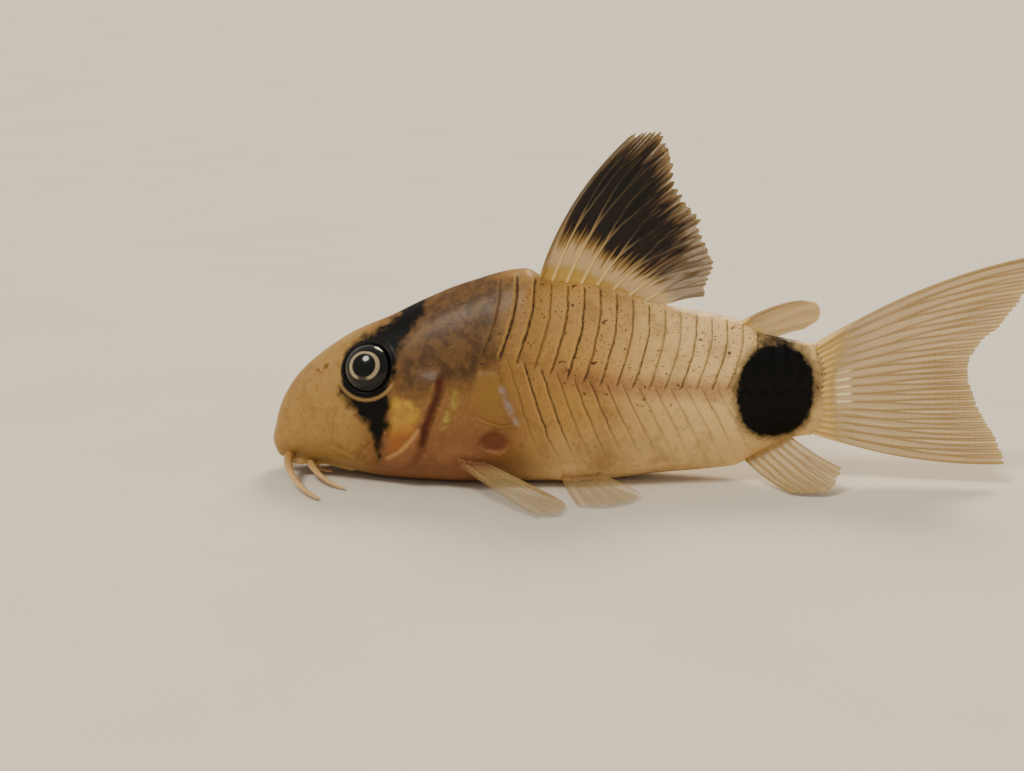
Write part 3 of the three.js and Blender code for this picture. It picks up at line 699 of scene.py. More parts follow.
def build_skin(settings):
    """One unbroken skin over head, trunk and tail stalk, with plates, gill cover, lips and sockets."""
    stations = skin_stations(settings.ring_step / MM)
    turns = np.linspace(-math.pi, math.pi, settings.around, endpoint=False)
    x, turn = np.meshgrid(stations, turns, indexing="ij")
    angle = np.abs(turn)
    smooth = skin_point(x, angle)
    normal = skin_normal(x, angle)
    fields, lift = plate_fields(x, angle)
    socket, eye_distance, eye_fold = eye_relief(smooth)
    relief = settings.plate_lift / MM * lift + socket + nostril_relief(smooth)
    relief = relief + head_relief(x, smooth[..., 2]) + lip_relief(smooth)
    points = smooth + normal * relief[..., None]
    fields.update(skin_fields(x, smooth))
    fields["eye_distance"] = eye_distance
    fields["eye_fold"] = eye_fold
    points[..., 1] *= np.where(turn < 0, -1, 1)
    points[..., 2] = np.maximum(points[..., 2], 0)
    rings, count = x.shape
    flat = points.reshape(-1, 3)
    ends = np.array([flat[:count].mean(0), flat[-count:].mean(0)])
    ended = {
        name: np.concatenate([values.ravel(), [values[0].mean(), values[-1].mean()]])
        for name, values in fields.items()
    }
    return make_piece("skin", np.vstack([flat, ends]), closed_faces(rings, count), ended)


def ray_pattern(share, along, rays, gap):
    """How far each point is from the nearest ray, in millimetres: each ray parts twice on its way out."""
    place = share * (rays - 1)
    off = np.abs(place - np.round(place))
    edge = (place < 0.5) | (place > rays - 1.5)
    for reach, start, end in BRANCHES:
        branch = reach * ramp(along, start, end)
        off = np.abs(off - np.where(edge, branch * 0.5, branch))
    return off * gap


def margin_reach(fin, share):
    """How far out each column of a fin goes: points at the ends of the branches, cuts between them."""
    branch = ray_pattern(share, np.ones_like(share), fin["rays"], 1.0)
    draws = np.random.default_rng(len(fin["margin"]) * 10 + fin["rays"])
    coarse = draws.uniform(-1, 1, len(share) // 5 + 2)
    uneven = np.interp(np.arange(len(share)), np.arange(len(coarse)) * 5, coarse)
    cut = np.clip(branch / 0.14, 0, 1) * (0.55 + 0.45 * uneven)
    return 1 - fin["notch"] * (cut + 0.5 * (1 + np.roll(uneven, 7)))


def fin_grid(fin, side, settings):
    """The middle surface of a fin, with its share across and along at each point."""
    columns = (fin["rays"] - 1) * settings.columns_per_ray + 1
    share = np.linspace(0, 1, columns)
    along = np.linspace(0, 1, settings.rows + 1)
    flip = np.array([1, side, 1])
    root = spline(fin["root"])(share) * flip
    tip = spline(fin["margin"])(share) * flip
    first, last = (np.array(move) * flip for move in fin["bow"])
    elbow = (root + tip) / 2 + first * (1 - share[:, None]) + last * share[:, None]
    t = (along[None, :] * margin_reach(fin, share)[:, None])[..., None]
    middle = (1 - t) ** 2 * root[:, None] + 2 * t * (1 - t) * elbow[:, None] + t**2 * tip[:, None]
    return middle, share[:, None] + 0 * t[..., 0], along[None, :] + 0 * t[..., 0]


def two_sided_faces(columns, rows):
    """Faces of a closed sheet whose front and back have the same columns and rows."""
    index = np.arange(columns * rows).reshape(columns, rows)
    under = index + columns * rows
    corners = (index[:-1, :-1], index[1:, :-1], index[1:, 1:], index[:-1, 1:])
    faces = list(zip(*(corner.ravel().tolist() for corner in corners)))
    corners = (under[:-1, :-1], under[:-1, 1:], under[1:, 1:], under[1:, :-1])
    faces += list(zip(*(corner.ravel().tolist() for corner in corners)))
    border = np.concatenate([index[:, 0], index[-1, 1:], index[-2::-1, -1], index[0, -2:0:-1]]).tolist()
    half = columns * rows
    for i, p in enumerate(border):
        q = border[(i + 1) % len(border)]
        faces.append((q, p, p + half, q + half))
    return faces


def build_fin(name, fin, side, settings):
    """A closed thin fin: webs between branched rays, with a free edge a few hundredths thick."""
    middle, share, along = fin_grid(fin, side, settings)
    across = np.gradient(middle, axis=0)
    normal = np.cross(across, np.gradient(middle, axis=1))
    normal /= np.maximum(np.linalg.norm(normal, axis=-1, keepdims=True), 1e-9)
    gap = np.linalg.norm(across, axis=-1) * settings.columns_per_ray
    ray = bump(ray_pattern(share, along, fin["rays"], gap), RAY_REACH - RAY_NARROWING * along)
    spine = ramp(share * (fin["rays"] - 1), 0.3, 0.05)
    if fin.get("soft"):
        ray = 0.25 * ray
    ray = np.maximum(ray, spine)
    wave = WEB_WAVE * np.sin(share * (fin["rays"] - 1) * 2 * math.pi) * ramp(along, 0.1, 0.5)
    middle = middle + normal * wave[..., None]
    half = (settings.membrane / 2 + settings.ray_height * ray * (1 - 0.75 * along)) / MM
    half = half + fin["spine"] * spine * (1 - 0.8 * along) + fin["swell"] * (1 - ramp(along, 0, ROOT_REACH))
    half = half * (1 - 0.7 * ramp(along, 0.93, 1.0))
    front = middle + normal * half[..., None]
    back = middle - normal * half[..., None]
    lowest = np.minimum(np.minimum(front[..., 2], back[..., 2]), 0)
    front[..., 2] -= lowest
    back[..., 2] -= lowest
    length = np.linalg.norm(middle[:, -1] - middle[:, 0], axis=-1)[:, None] * along
    fields = {"ray": ray, "share": share, "along": along, "length": length, "spine": spine}
    both = {key: np.concatenate([values.ravel()] * 2) for key, values in fields.items()}
    points = np.vstack([front.reshape(-1, 3), back.reshape(-1, 3)])
    return make_piece(name, points, two_sided_faces(*share.shape), both)


def circles(centres, radii, across, up, turns):
    """The points of one circle for each centre and radius."""
    spokes = across[..., None, :] * np.cos(turns)[:, None] + up[..., None, :] * np.sin(turns)[:, None]
    return centres[:, None] + radii[:, None, None] * spokes


def build_feeler(name, path, sizes, seed):
    """A round, tapering and slightly uneven feeler along a path, closed at both ends."""
    sides, steps = FEELER_SIDES, FEELER_RINGS
    share = np.linspace(0, 1, steps)
    middle = path(share)
    tangent = np.gradient(middle, axis=0)
    tangent /= np.linalg.norm(tangent, axis=1, keepdims=True)
    out = np.cross(tangent, [0.3, 0.2, 1.0])
    out /= np.linalg.norm(out, axis=1, keepdims=True)
    up = np.cross(out, tangent)
    radius = sizes["root"] + (sizes["tip"] - sizes["root"]) * share**0.8
    noise = np.random.default_rng(seed).uniform(-1, 1, steps)
    radius = radius * (1 + FEELER_WOBBLE * np.convolve(noise, np.ones(4) / 4, "same"))
    radius[-1] *= 0.45
    turns = np.linspace(0, 2 * math.pi, sides, endpoint=False)
    rings = circles(middle, radius, out, up, turns)
    rings[..., 2] = np.maximum(rings[..., 2], 0)
    points = np.vstack([rings.reshape(-1, 3), middle[:1], rings[-1].mean(0)[None]])
    along = np.concatenate([np.repeat(share, sides), [0, 1]])
    return make_piece(name, points, closed_faces(steps, sides), {"along": along})


def bezier(points):
    a, b, c, d = (np.array(p, float) for p in points)

    def at(share):
        t = share[:, None]
        return (1 - t) ** 3 * a + 3 * t * (1 - t) ** 2 * b + 3 * t**2 * (1 - t) * c + t**3 * d

    return at


def build_eye(name, side):
    """A domed eye, turned the way the flank faces."""
    centre, normal = eye_place(side)
    rings, sides = EYE_MESH
    radius = np.linspace(0.02, EYE["radius"] * 0.995, rings)
    dome = EYE["depth"] * np.sqrt(np.clip(1 - (radius / EYE["radius"]) ** 2, 0, 1))
    turns = np.linspace(0, 2 * math.pi, sides, endpoint=False)
    forward = np.cross([0, 0, 1.0], normal)
    forward /= np.linalg.norm(forward)
    upward = np.cross(normal, forward)
    points = circles(centre + dome[:, None] * normal, radius, forward, upward, turns)
    ends = centre + np.outer([EYE["depth"], -EYE["back"]], normal)
    points = np.vstack([points.reshape(-1, 3), ends])
    faces = [tuple(reversed(face)) for face in closed_faces(rings, sides)]
    ring_reach = radius[:, None] - EYE_OVAL * np.abs(np.cos(turns))
    fields = {
        "out": np.concatenate([np.repeat(radius, sides), [0, EYE["radius"]]]),
        "ring_reach": np.concatenate([ring_reach.ravel(), [0, EYE["radius"]]]),
        "turn_z": np.concatenate([np.tile(np.sin(turns), rings), [0, 0]]),
    }
    return make_piece(name, points, faces, fields)


# Materials


class Span(NamedTuple):
    """A smooth step of a pattern, from bottom at low to top at high, where low may be the greater limit."""

    source: str
    low: float
    high: float
    bottom: float = 0.0
    top: float = 1.0
    noise: str = ""  # the noise that makes the step wander
    fray: float = 0.0  # how far it wanders, in the pattern's own unit
    both: bool = False  # whether both sides of the pattern's zero count alike


# Noises: the size of a lump in millimetres, its detail and its roughness
SKIN_NOISES = {
    "patch": (2.2, 3.0, 0.6),
    "cloud": (0.8, 2.0, 0.6),
    "fine": (0.35, 4.0, 0.6),
    "dot": (0.42, 0.0, 0.6),
    "speck": (0.15, 2.0, 0.4),
}

# A layer of paint is its colour and then the steps and shares whose product says how strong it is.
# The colour is an sRGB hex value, the name of a setting, or a base with layers of its own.
FLESH = (
    # the flesh pales from behind the head to the tail stalk: the darker front is painted shade
    ("middle", Span("along", 15, 22)),
    ("rear", Span("along", 21, 31)),
    ("snout", Span("along", 8.5, 5.5)),
    ("belly", Span("along", 6, 9), Span("along", 20, 14), Span("height", 0.6, 0.22, 0, 0.8)),
    ("rear", Span("height", 0.42, 0.08, 0, 0.85), Span("along", 17, 21.5)),
    # the reddish band along the lateral line
    ("#874D38", Span("lateral", 1.2, 0.1, 0, 0.5), Span("along", 18.5, 22)),
    # uneven flesh, from patches down to grain
    ("#6F4A20", Span("patch", 0.48, 0.7, 0, 0.35)),
    ("#D9B069", Span("fine", 0.54, 0.78, 0, 0.25)),
    ("#6B4518", Span("fine", 0.46, 0.28, 0, 0.35)),
    # smudges on the snout and a few dark spots on the flank
    ("#6B4B22", Span("along", 8, 6), Span("cloud", 0.52, 0.68, 0, 0.22)),
    ("#4A2113", Span("dot", 0.77, 0.8, 0, 0.85), Span("height", 0.35, 0.55), Span("along", 17, 20)),
    # the dusky nape, and freckles on the back
    ("dusk", Span("dusk", -1.1, 1, 0, 0.86, "patch", 2.4), Span("cloud", 0.35, 0.65, 1, 0.62)),
    ("#2A190D", Span("speck", 0.64, 0.7), Span("height", 0.3, 0.7, 0, 0.85), Span("along", 9, 14)),
)
MOTTLE = Span("cloud", 0.3, 0.6, 0.45)
GLITTER = (Span("cloud", 0.36, 0.58, 0.2), Span("fine", 0.4, 0.56, 0.25))
GILL_BONE = ("#9C5A24", ("#B99436", Span("height", 0.3, 0.48, 0, 1, "cloud", 0.12)))
HEAD_MARKINGS = (
    # gill cover: the bone that shows through, its pale lower edge and the red slit behind it
    (GILL_BONE, Span("gill_patch", -0.4, 0.45, 0, 0.85, "cloud", 1.2), MOTTLE),
    ("#D8A865", Span("cover_edge", 0.24, 0, 0, 0.5, "fine", 0.3)),
    ("#4A0F0A", Span("gill_line", 0.5, 0.02, 0, 0.85, "cloud", 0.5)),
    # the shoulder plate and its pale border, and the reddish hollow below it with its rim
    ("#8A682C", Span("shoulder", -0.4, 0.7, 0, 0.7, "cloud", 1.6), MOTTLE),
    ("#C79A5A", Span("shoulder", 0.16, 0.03, 0, 0.35, both=True), Span("height", 0.42, 0.36)),
    ("#5E2417", Span("red_patch", -0.35, 0.35, 0, 0.65, "cloud", 0.8)),
    ("#C48A5E", Span("red_patch", 0.2, 0, 0, 0.35, "cloud", 0.8, both=True), Span("height", 0.26, 0.2)),
    # a green and a lilac glint, and the pale fold of the lip
    ("#B0B24E", Span("glint", 0.42, 0, 0, 0.55, "fine", 0.5), *GLITTER),
    ("#ACA6B4", Span("shoulder_rear", 0.4, 0, 0, 0.5, "fine", 0.5), *GLITTER),
    ("#D3AB6E", Span("lip_line", 0.2, 0.03, 0, 0.55)),
)
BODY_MARKINGS = (
    ("#2C1A0C", "seams"),
    # a pale line on the raised rear edge of each plate: painted highlight
    ("#DDB36A", "worn_edges"),
    # a dusky halo round the tail spot and the dark saddle above it
    ("#54492C", Span("tail_spot", -0.6, 0, 0, 0.7, "cloud", 0.8)),
    ("#23170C", Span("saddle", -0.3, 0.5, 0, 0.9, "cloud", 1.2)),
    ("black", "black"),
    ("#B08D58", Span("eye_fold", 0.3, 1, 0, 0.6)),
)
# The eye mask, the round tail spot and the ring of skin round the eye
BLACK_PIGMENT = (
    Span("mask", -0.4, 0.3, 0, 1, "cloud", 1.1),
    Span("tail_spot", -0.14, 0.16, 0, 1, "fine", 0.5),
    Span("eye_distance", 2, 1.84),
)

# Seams are crisp in front and above, and faint behind and towards the belly
BROKEN = Span("fine", 0.3, 0.55, 0.4)
SEAM_FADING = {
    "upper": (Span("along", 17, 33, 0.95, 0.72), BROKEN),
    "lower": (Span("along", 18, 27, 0.9, 0.45), Span("height", 0.14, 0.4), BROKEN),
}
SEAM_WANDER = 0.24  # how far a seam strays, as a share of a plate
# The pale line painted as a highlight on the raised rear edge of each plate, beside its seam: width and
# distance as shares of a plate, and strength
EDGE_HIGHLIGHT_WIDTH = 0.1
EDGE_HIGHLIGHT_SHIFT = 0.17
EDGE_HIGHLIGHT_STRENGTH = 0.22

FIN_FIELDS = ("ray", "along", "share", "length", "spine")
BONY = Span("ray", 0.2, 0.8)  # on a ray and not on the web
JOINT_STEP = 0.2  # half the length of a joint in a ray, in millimetres
WEB_AND_RAYS = (
    ("#DCC48E", Span("streak", 0.5, 0.75, 0, 0.6)),
    ("#A88B55", Span("streak", 0.48, 0.3, 0, 0.6)),
    ("ray", Span("ray", 0.2, 0.8, 0, 0.7)),
    ("#6E5426", BONY, Span("joint", 0.05, 0, 0, 0.35)),
    ("root", Span("along", 0.24, 0.06)),
)
PAIRED_ROOT = (("flesh", Span("along", 0.42, 0.1)),)
# The short pale streaks on the middle rays of the tail fin, near its root
MARKS_ALONG = (Span("along", 0.27, 0.22), Span("along", 0.13, 0.16))
MARKS_ACROSS = (Span("share", 0.3, 0.42), Span("share", 0.72, 0.6))
TAIL_MARKS = (("#FFF0BE", *MARKS_ALONG, BONY, *MARKS_ACROSS),)
# The dorsal fin: yellowish foot with pale rays, dark spine, grey web and the black itself
SOOT = ("#080605", ("#4A3D2A", BONY, Span("streak", 0.4, 0.6, 0.2, 0.9)))
BLOTCH = (
    ("#B5923F", Span("along", 0.5, 0.15, 0, 0.85)),
    ("#DDC282", BONY, Span("along", 0.5, 0.2, 0, 0.9)),
    ("#5B4426", "spine", Span("along", 0.02, 0.2, 0, 0.8)),
    ("#6E6350", Span("along", 0.3, 0.6, 0, 0.85)),
    (SOOT, "dark"),
)
# The blotch is dense in the front half, and streaked and thinning to the rear, with pale rays at its foot
BLOTCH_PLACE = (
    Span("along", 0.12, 0.5),
    Span("along", 1.04, 0.72, 0.35),
    Span("share", 1.05, 0.4),
    Span("share", 0.015, 0.06, 0.3),
)
BLOTCH_STREAKS = (Span("dense", 0.08, 0.75, 0, 1, "streak", 1.5), Span("dense", 0, 0.2))
BLOTCH_RAYS = (BONY, Span("along", 0.62, 0.3, 0, 0.85))
STREAK_STRETCH = {"X": ("share", 60.0), "Y": ("along", 3.0)}  # streaks across the fin and along it


def add_node(tree, kind, inputs=(), output=0, **settings):
    """Adds a shader node with settings and with inputs that are values or sockets, and gives one output."""
    node = tree.nodes.new(f"ShaderNode{kind}")
    for key, value in settings.items():
        setattr(node, key, value)
    for key, value in inputs.items() if isinstance(inputs, dict) else enumerate(inputs):
        socket = node.inputs[key]
        if isinstance(value, bpy.types.NodeSocket):
            tree.links.new(value, socket)
        else:
            socket.default_value = value
    return node.outputs[output] if node.outputs else None


def new_material(name, fields, noises):
    """An empty material, with the mesh's fields and the noises that its patterns are made from."""
    material = bpy.data.materials.new(name)
    material.use_nodes = True
    tree = material.node_tree
    tree.nodes.clear()
    place = add_node(tree, "TexCoord", output="Object")
    sources = {}
    for field in fields:
        sources[field] = add_node(tree, "Attribute", output="Fac", attribute_name=field)
    for noise, (size, detail, rough) in noises.items():
        inputs = {"Vector": place, "Scale": 1 / (size * MM), "Detail": detail, "Roughness": rough}
        sources[noise] = add_node(tree, "TexNoise", inputs, "Fac")
    return material, tree, sources


def stepped(tree, sources, span):
    """A span as a share."""
    value = sources[span.source]
    if span.fray:
        wander = (sources[span.noise], span.fray, -span.fray / 2)
        shift = add_node(tree, "Math", wander, operation="MULTIPLY_ADD")
        value = add_node(tree, "Math", (value, shift), operation="ADD")
    if span.both:
        value = add_node(tree, "Math", (value,), operation="ABSOLUTE")
    limits = (value, span.low, span.high, span.bottom, span.top)
    return add_node(tree, "MapRange", limits, interpolation_type="SMOOTHSTEP")


def share_of(tree, sources, spans, operation="MULTIPLY"):
    """Spans, and patterns that are shares already, made into one share."""
    whole = None
    for span in spans:
        share = sources[span] if isinstance(span, str) else stepped(tree, sources, span)
        if whole is not None:
            share = add_node(tree, "Math", (whole, share), operation=operation)
        whole = share
    return whole


def painted(tree, sources, settings, base, *layers):
    """A base colour with layers of paint on it."""

    def mixed(colour):
        if isinstance(colour, tuple):
            return painted(tree, sources, settings, *colour)
        return linear(colour) if colour.startswith("#") else tuple(getattr(settings, colour))

    below = mixed(base)
    for colour, *spans in layers:
        inputs = {0: share_of(tree, sources, spans), 6: below, 7: mixed(colour)}
        below = add_node(tree, "Mix", inputs, 2, data_type="RGBA")
    return below


def finish_material(tree, sources, inputs):
    """Adds the shader, with inputs that are values, sockets or spans, and the material's output."""
    for key, value in inputs.items():
        if isinstance(value, Span):
            inputs[key] = stepped(tree, sources, value)
    shader = add_node(tree, "BsdfPrincipled", inputs)
    add_node(tree, "OutputMaterial", {"Surface": shader})


def seam_lines(tree, sources, row, width, fading, shift=0.0, strength=1.0):
    """Thin uneven lines where one plate of a row ends; width and shift are shares of a plate."""
    wander = (sources["cloud"], SEAM_WANDER, shift - SEAM_WANDER / 2)
    shift = add_node(tree, "Math", wander, operation="MULTIPLY_ADD")
    phase = add_node(tree, "Math", (sources[f"{row}_phase"], shift), operation="ADD")
    number = add_node(tree, "Math", (phase,), operation="ROUND")
    patterns = {
        **sources,
        "part": add_node(tree, "Math", (phase, 0.5), operation="PINGPONG"),
        "luck": add_node(tree, "TexWhiteNoise", {"W": number}, "Value", noise_dimensions="1D"),
    }
    line = Span("part", width, width * 0.25)
    uneven = Span("luck", 0, 1, 0.55 * strength, strength)
    return share_of(tree, patterns, (line, f"{row}_present", uneven, *fading))


def moist_skin(settings, fields):
    """Moist fish skin over bone: pale flesh that lets light in, grained pigment and a thin wet gloss."""
    material, tree, sources = new_material("Moist fish skin", fields, SKIN_NOISES)
    # for each row: its dark seams, and the pale line painted as a highlight on each plate's raised rear
    # edge
    for row, fading in SEAM_FADING.items():
        sources[f"{row}_seams"] = seam_lines(tree, sources, row, settings.seam_width, fading)
        sources[f"{row}_worn"] = seam_lines(tree, sources, row, EDGE_HIGHLIGHT_WIDTH, (), EDGE_HIGHLIGHT_SHIFT, EDGE_HIGHLIGHT_STRENGTH)
    sources["seams"] = share_of(tree, sources, ("upper_seams", "lower_seams"), "MAXIMUM")
    sources["worn_edges"] = share_of(tree, sources, ("upper_worn", "lower_worn"), "MAXIMUM")
    sources["black"] = share_of(tree, sources, BLACK_PIGMENT, "MAXIMUM")

    lumps = add_node(tree, "Math", (sources["fine"], 0.5), operation="MULTIPLY")
    relief = add_node(tree, "Math", (lumps, sources["seams"]), operation="SUBTRACT")
    bumps = {"Strength": 0.4, "Distance": 0.05 * MM, "Height": relief}
    inputs = {
        "Base Color": painted(tree, sources, settings, "front", *FLESH, *HEAD_MARKINGS, *BODY_MARKINGS),
        "Roughness": Span("fine", 0.3, 0.7, 0.44, 0.62),
        "IOR": 1.38,
        "Specular IOR Level": Span("black", 0, 1, 0.35, 0.2),
        "Subsurface Weight": Span("black", 0, 1, 0.3, 0),
        "Subsurface Radius": (1.0, 0.45, 0.2),
        "Subsurface Scale": 0.7 * MM,
        "Coat Weight": Span("black", 0, 1, 0.08, 0.04),
        "Coat Roughness": 0.25,
        "Normal": add_node(tree, "Bump", bumps),
    }
    finish_material(tree, sources, inputs)
    return material


def fin_streaks(tree, sources):
    """Fine uneven streaks that run out along the rays."""
    axes = {
        axis: add_node(tree, "Math", (sources[field], count), operation="MULTIPLY")
        for axis, (field, count) in STREAK_STRETCH.items()
    }
    place = add_node(tree, "CombineXYZ", axes)
    return add_node(tree, "TexNoise", {"Vector": place, "Scale": 1.0, "Detail": 4.0}, "Fac")


def black_blotch(tree, sources):
    """Share of black in the dorsal fin."""
    patterns = {**sources, "dense": share_of(tree, sources, BLOTCH_PLACE)}
    patterns["dark"] = share_of(tree, patterns, BLOTCH_STREAKS)
    pale = share_of(tree, patterns, ("dark", *BLOTCH_RAYS))
    return add_node(tree, "Math", (patterns["dark"], pale), operation="SUBTRACT")


def fin_membrane(name, settings, density, layers=()):
    """Fin membrane on bony rays: clear horny web that dims what is behind it, with darker rays."""
    material, tree, sources = new_material(name, FIN_FIELDS, {"fine": (0.4, 4.0, 0.6)})
    sources["streak"] = fin_streaks(tree, sources)
    sources["joint"] = add_node(tree, "Math", (sources["length"], JOINT_STEP), operation="PINGPONG")
    solid = [Span("ray", 0.1, 0.8, density, min(0.9, density * 1.3 + 0.1)), Span("along", 0.26, 0.08)]
    if layers is BLOTCH:
        sources["dark"] = black_blotch(tree, sources)
        solid.append(Span("dark", 0.05, 0.6, 0.5, 0.97))
    inputs = {
        "Base Color": painted(tree, sources, settings, "web", *WEB_AND_RAYS, *layers),
        "Alpha": share_of(tree, sources, solid, "MAXIMUM"),
        "Roughness": Span("fine", 0.3, 0.7, 0.35, 0.5),
        "IOR": 1.38,
        "Specular IOR Level": 0.35,
        "Subsurface Weight": 0.3,
        "Subsurface Radius": (1.0, 0.7, 0.4),
        "Subsurface Scale": 0.4 * MM,
        "Coat Weight": 0.12,
        "Coat Roughness": 0.25,
    }
    finish_material(tree, sources, inputs)
    return material


def wet_eye(settings):
    """A wet eye: clear gloss over a black iris with one thin ring of pale gold pigment."""
    fields = ("out", "ring_reach", "turn_z")
    material, tree, sources = new_material("Wet eye", fields, {"fine": (0.12, 3.0, 0.6)})
    inner = settings.pupil / MM
    outer = inner + settings.ring_width / MM
    ring = (
        Span("out", inner, inner + 0.07),
        Span("ring_reach", outer, outer - 0.09),
        Span("turn_z", -0.99, -0.86, 0.12),
        Span("fine", 0.3, 0.6, 0.7),
    )
    sources["ring"] = share_of(tree, sources, ring)
    layers = (("#060507", Span("out", 1, 1.5)), ("ring", "ring"))
    inputs = {
        "Base Color": painted(tree, sources, settings, "#020202", *layers),
        "Roughness": Span("ring", 0, 1, 0.2, 0.35),
        "Specular IOR Level": Span("ring", 0, 1, 0.1, 0.4),
        "Coat Weight": 1.0,
        "Coat Roughness": 0.04,
        "Coat IOR": 1.34,
    }
    finish_material(tree, sources, inputs)
    return material


def feeler_flesh():
    """Bare flesh of a feeler: wet, a little see-through and paler towards its tip."""
    material, tree, sources = new_material("Feeler flesh", ("along",), {"fine": (0.25, 3.0, 0.6)})
    layers = (("#CDA970", Span("along", 0, 0.8)), ("#86602F", Span("fine", 0.5, 0.75, 0, 0.5)))
    bumps = {"Strength": 0.4, "Distance": 0.03 * MM, "Height": sources["fine"]}
    inputs = {
        "Base Color": painted(tree, sources, None, "#A67F4A", *layers),
        "Roughness": Span("fine", 0.3, 0.7, 0.3, 0.45),
        "IOR": 1.38,
        "Subsurface Weight": 0.4,
        "Subsurface Radius": (1.0, 0.6, 0.35),
        "Subsurface Scale": 0.4 * MM,
        "Coat Weight": 0.3,
        "Coat Roughness": 0.15,
        "Normal": add_node(tree, "Bump", bumps),
    }
    finish_material(tree, sources, inputs)
    return material


def pale_floor(settings):
    """Matt painted board: pale, even and without gloss."""
    material, tree, sources = new_material("Matt painted board", (), {"tone": (30.0, 3.0, 0.6)})
    colour = painted(tree, sources, settings, "floor", ("#D2CABB", Span("tone", 0.3, 0.7, 0, 0.5)))
    finish_material(tree, sources, {"Base Color": colour, "Roughness": 0.9})
    return material


# Stage


def soft_sun(name, strength):
    """Even light from far off, so that the floor is as bright at a distance as it is near."""
    azimuth, elevation, width, colour = SUNS[name]
    data = bpy.data.lights.new(name, "SUN")
    data.angle = math.radians(width)
    data.energy = strength
    data.color = linear(colour)[:3]
    light = bpy.data.objects.new(name, data)
    bpy.context.scene.collection.objects.link(light)
    turn, rise = math.radians(azimuth), math.radians(elevation)
    towards = Vector((math.cos(turn) * math.cos(rise), math.sin(turn) * math.cos(rise), math.sin(rise)))
    light.rotation_mode = "QUATERNION"
    light.rotation_quaternion = (-towards).to_track_quat("-Z", "Y")


def set_camera():
    """The photograph's view: a slightly raised camera on the fish's left side."""
    azimuth, elevation = math.radians(CAMERA["azimuth"]), math.radians(CAMERA["elevation"])
    level = math.cos(elevation)
    back = Vector((math.sin(azimuth) * level, -math.cos(azimuth) * level, math.sin(elevation)))
    data = bpy.data.cameras.new("camera")
    data.lens, data.sensor_width = CAMERA["lens"], CAMERA["sensor"]
    data.clip_start, data.clip_end = 0.005, 20.0
    camera = bpy.data.objects.new("camera", data)
    bpy.context.scene.collection.objects.link(camera)
    camera.location = Vector(to_row(CAMERA["target"])) + back * CAMERA["distance"] * MM
    camera.rotation_mode = "QUATERNION"
    camera.rotation_quaternion = (-back).to_track_quat("-Z", "Y")
    bpy.context.scene.camera = camera


class CORY_OT_skin(bpy.types.Operator):
    """Build the skin of head, trunk and tail stalk"""

    bl_idname = "cory.skin"
    bl_label = "Skin"

    def execute(self, context):
        settings = context.scene.cory_skin
        skin = build_skin(settings)
        fields = [attribute.name for attribute in skin.data.attributes if attribute.data_type == "FLOAT"]
        fit_piece(skin, moist_skin(settings, fields), "skin", "head", "trunk", "tail_stalk")
        return {"FINISHED"}


class CORY_OT_eyes(bpy.types.Operator):
    """Build both eyes"""

    bl_idname = "cory.eyes"
    bl_label = "Eyes"

    def execute(self, context):
        material = wet_eye(context.scene.cory_eye)
        for name, side in SIDES:
            fit_piece(build_eye(f"eye_dome_{name}", side), material, "eye", f"eye_{name}")
        return {"FINISHED"}


class CORY_OT_feelers(bpy.types.Operator):
    """Build the six feelers round the mouth"""

    bl_idname = "cory.feelers"
    bl_label = "Feelers"

    def execute(self, context):
        material = feeler_flesh()
        for number, (barbel, sizes) in enumerate(BARBELS.items()):
            for name, side in SIDES:
                path = bezier([(x, y * side, z) for x, y, z in sizes["path"]])
                piece = build_feeler(f"feeler_{barbel}_{name}", path, sizes, number + 3)
                fit_piece(piece, material, "feeler", f"{barbel}_{name}")
        return {"FINISHED"}


class CORY_OT_median_fins(bpy.types.Operator):
    """Build the dorsal, adipose, anal and tail fins"""

    bl_idname = "cory.median_fins"
    bl_label = "Median fins"

    def execute(self, context):
        settings = context.scene.cory_fin
        materials = {
            "dorsal_fin": fin_membrane("Fin membrane with black blotch", settings, 0.62, BLOTCH),
            "adipose_fin": fin_membrane("Adipose fin membrane", settings, 0.72),
            "anal_fin": fin_membrane("Fin membrane", settings, 0.5),
            "caudal_fin": fin_membrane("Tail fin membrane", settings, 0.58, TAIL_MARKS),
        }
        for name, material in materials.items():
            piece = build_fin(f"rays_{name}", FINS[name], 1.0, settings)
            fit_piece(piece, material, "fin", name)
        return {"FINISHED"}


class CORY_OT_paired_fins(bpy.types.Operator):
    """Build the pectoral and pelvic fins"""

    bl_idname = "cory.paired_fins"
    bl_label = "Paired fins"

    def execute(self, context):
        settings = context.scene.cory_fin
        material = fin_membrane("Paired fin membrane", settings, 0.22, PAIRED_ROOT)
        for fin in ("pectoral_fin", "pelvic_fin"):
            for name, side in SIDES:
                piece = build_fin(f"rays_{fin}_{name}", FINS[fin], side, settings)
                fit_piece(piece, material, "fin", f"{fin}_{name}")
        return {"FINISHED"}


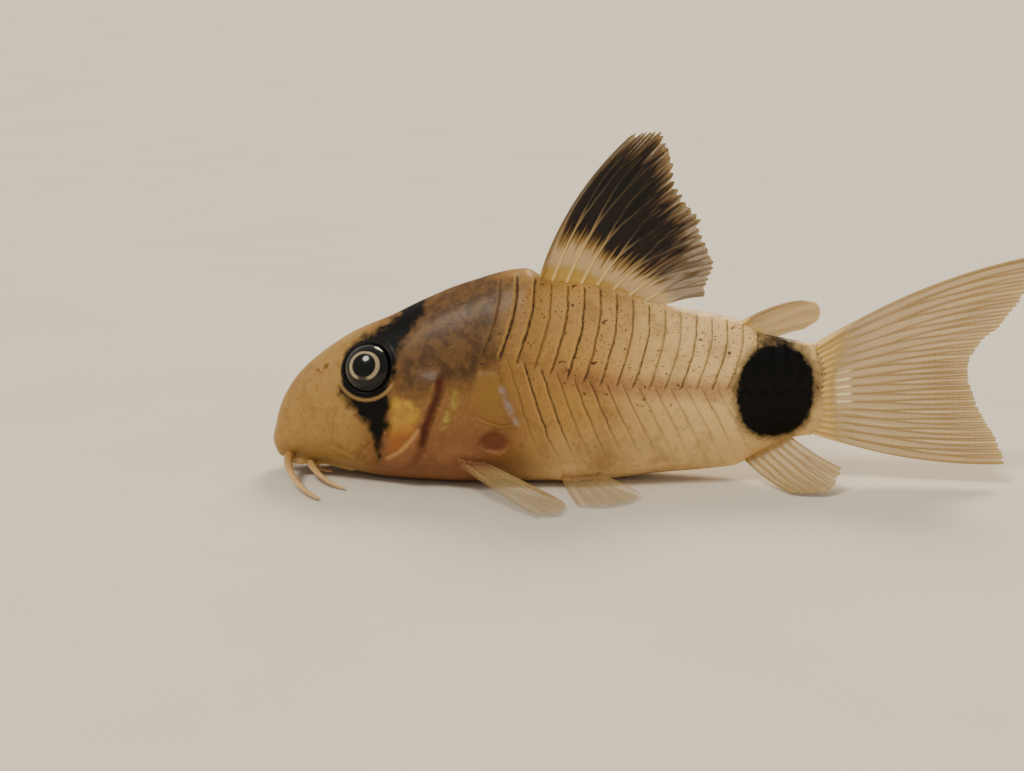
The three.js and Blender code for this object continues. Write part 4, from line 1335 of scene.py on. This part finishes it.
class CORY_OT_stage(bpy.types.Operator):
    """Set the floor, the lights and the camera"""

    bl_idname = "cory.stage"
    bl_label = "Stage"

    def execute(self, context):
        settings = context.scene.cory_stage
        mesh = bpy.data.meshes.new("floor")
        corners = [(x * FLOOR_REACH, y * FLOOR_REACH, 0) for x, y in ((-1, -1), (1, -1), (1, 1), (-1, 1))]
        mesh.from_pydata(corners, [], [(0, 1, 2, 3)])
        floor = bpy.data.objects.new("floor", mesh)
        context.scene.collection.objects.link(floor)
        mesh.materials.append(pale_floor(settings))
        soft_sun("key", settings.key)
        soft_sun("back", settings.back)
        world = bpy.data.worlds.new("soft room")
        context.scene.world = world
        world.use_nodes = True
        background = world.node_tree.nodes["Background"]
        background.inputs["Color"].default_value = linear("#F4EFE6")
        background.inputs["Strength"].default_value = settings.room
        set_camera()
        return {"FINISHED"}


class CORY_PT_panel(bpy.types.Panel):
    """Lists the steps that build the fish"""

    bl_idname = "CORY_PT_panel"
    bl_label = "Corydoras"
    bl_space_type = "VIEW_3D"
    bl_region_type = "UI"
    bl_category = "Corydoras"

    def draw(self, context):
        for step in STEPS:
            self.layout.operator(step.bl_idname)
        for group in SETTINGS:
            settings = getattr(context.scene, group)
            box = self.layout.box()
            for key in settings.bl_rna.properties.keys():
                if key not in ("rna_type", "name"):
                    box.prop(settings, key)


STEPS = (
    CORY_OT_stage,
    CORY_OT_skin,
    CORY_OT_eyes,
    CORY_OT_feelers,
    CORY_OT_median_fins,
    CORY_OT_paired_fins,
)
SETTINGS = {
    "cory_skin": SkinSettings,
    "cory_fin": FinSettings,
    "cory_eye": EyeSettings,
    "cory_stage": StageSettings,
}


def register():
    for kind in (*SETTINGS.values(), *STEPS, CORY_PT_panel):
        bpy.utils.register_class(kind)
    for name, kind in SETTINGS.items():
        setattr(bpy.types.Scene, name, bpy.props.PointerProperty(type=kind))


def unregister():
    for name in SETTINGS:
        delattr(bpy.types.Scene, name)
    for kind in reversed((*SETTINGS.values(), *STEPS, CORY_PT_panel)):
        bpy.utils.unregister_class(kind)


def main():
    register()
    for step in STEPS:
        group, name = step.bl_idname.split(".")
        getattr(getattr(bpy.ops, group), name)()


if __name__ == "__main__":
    main()
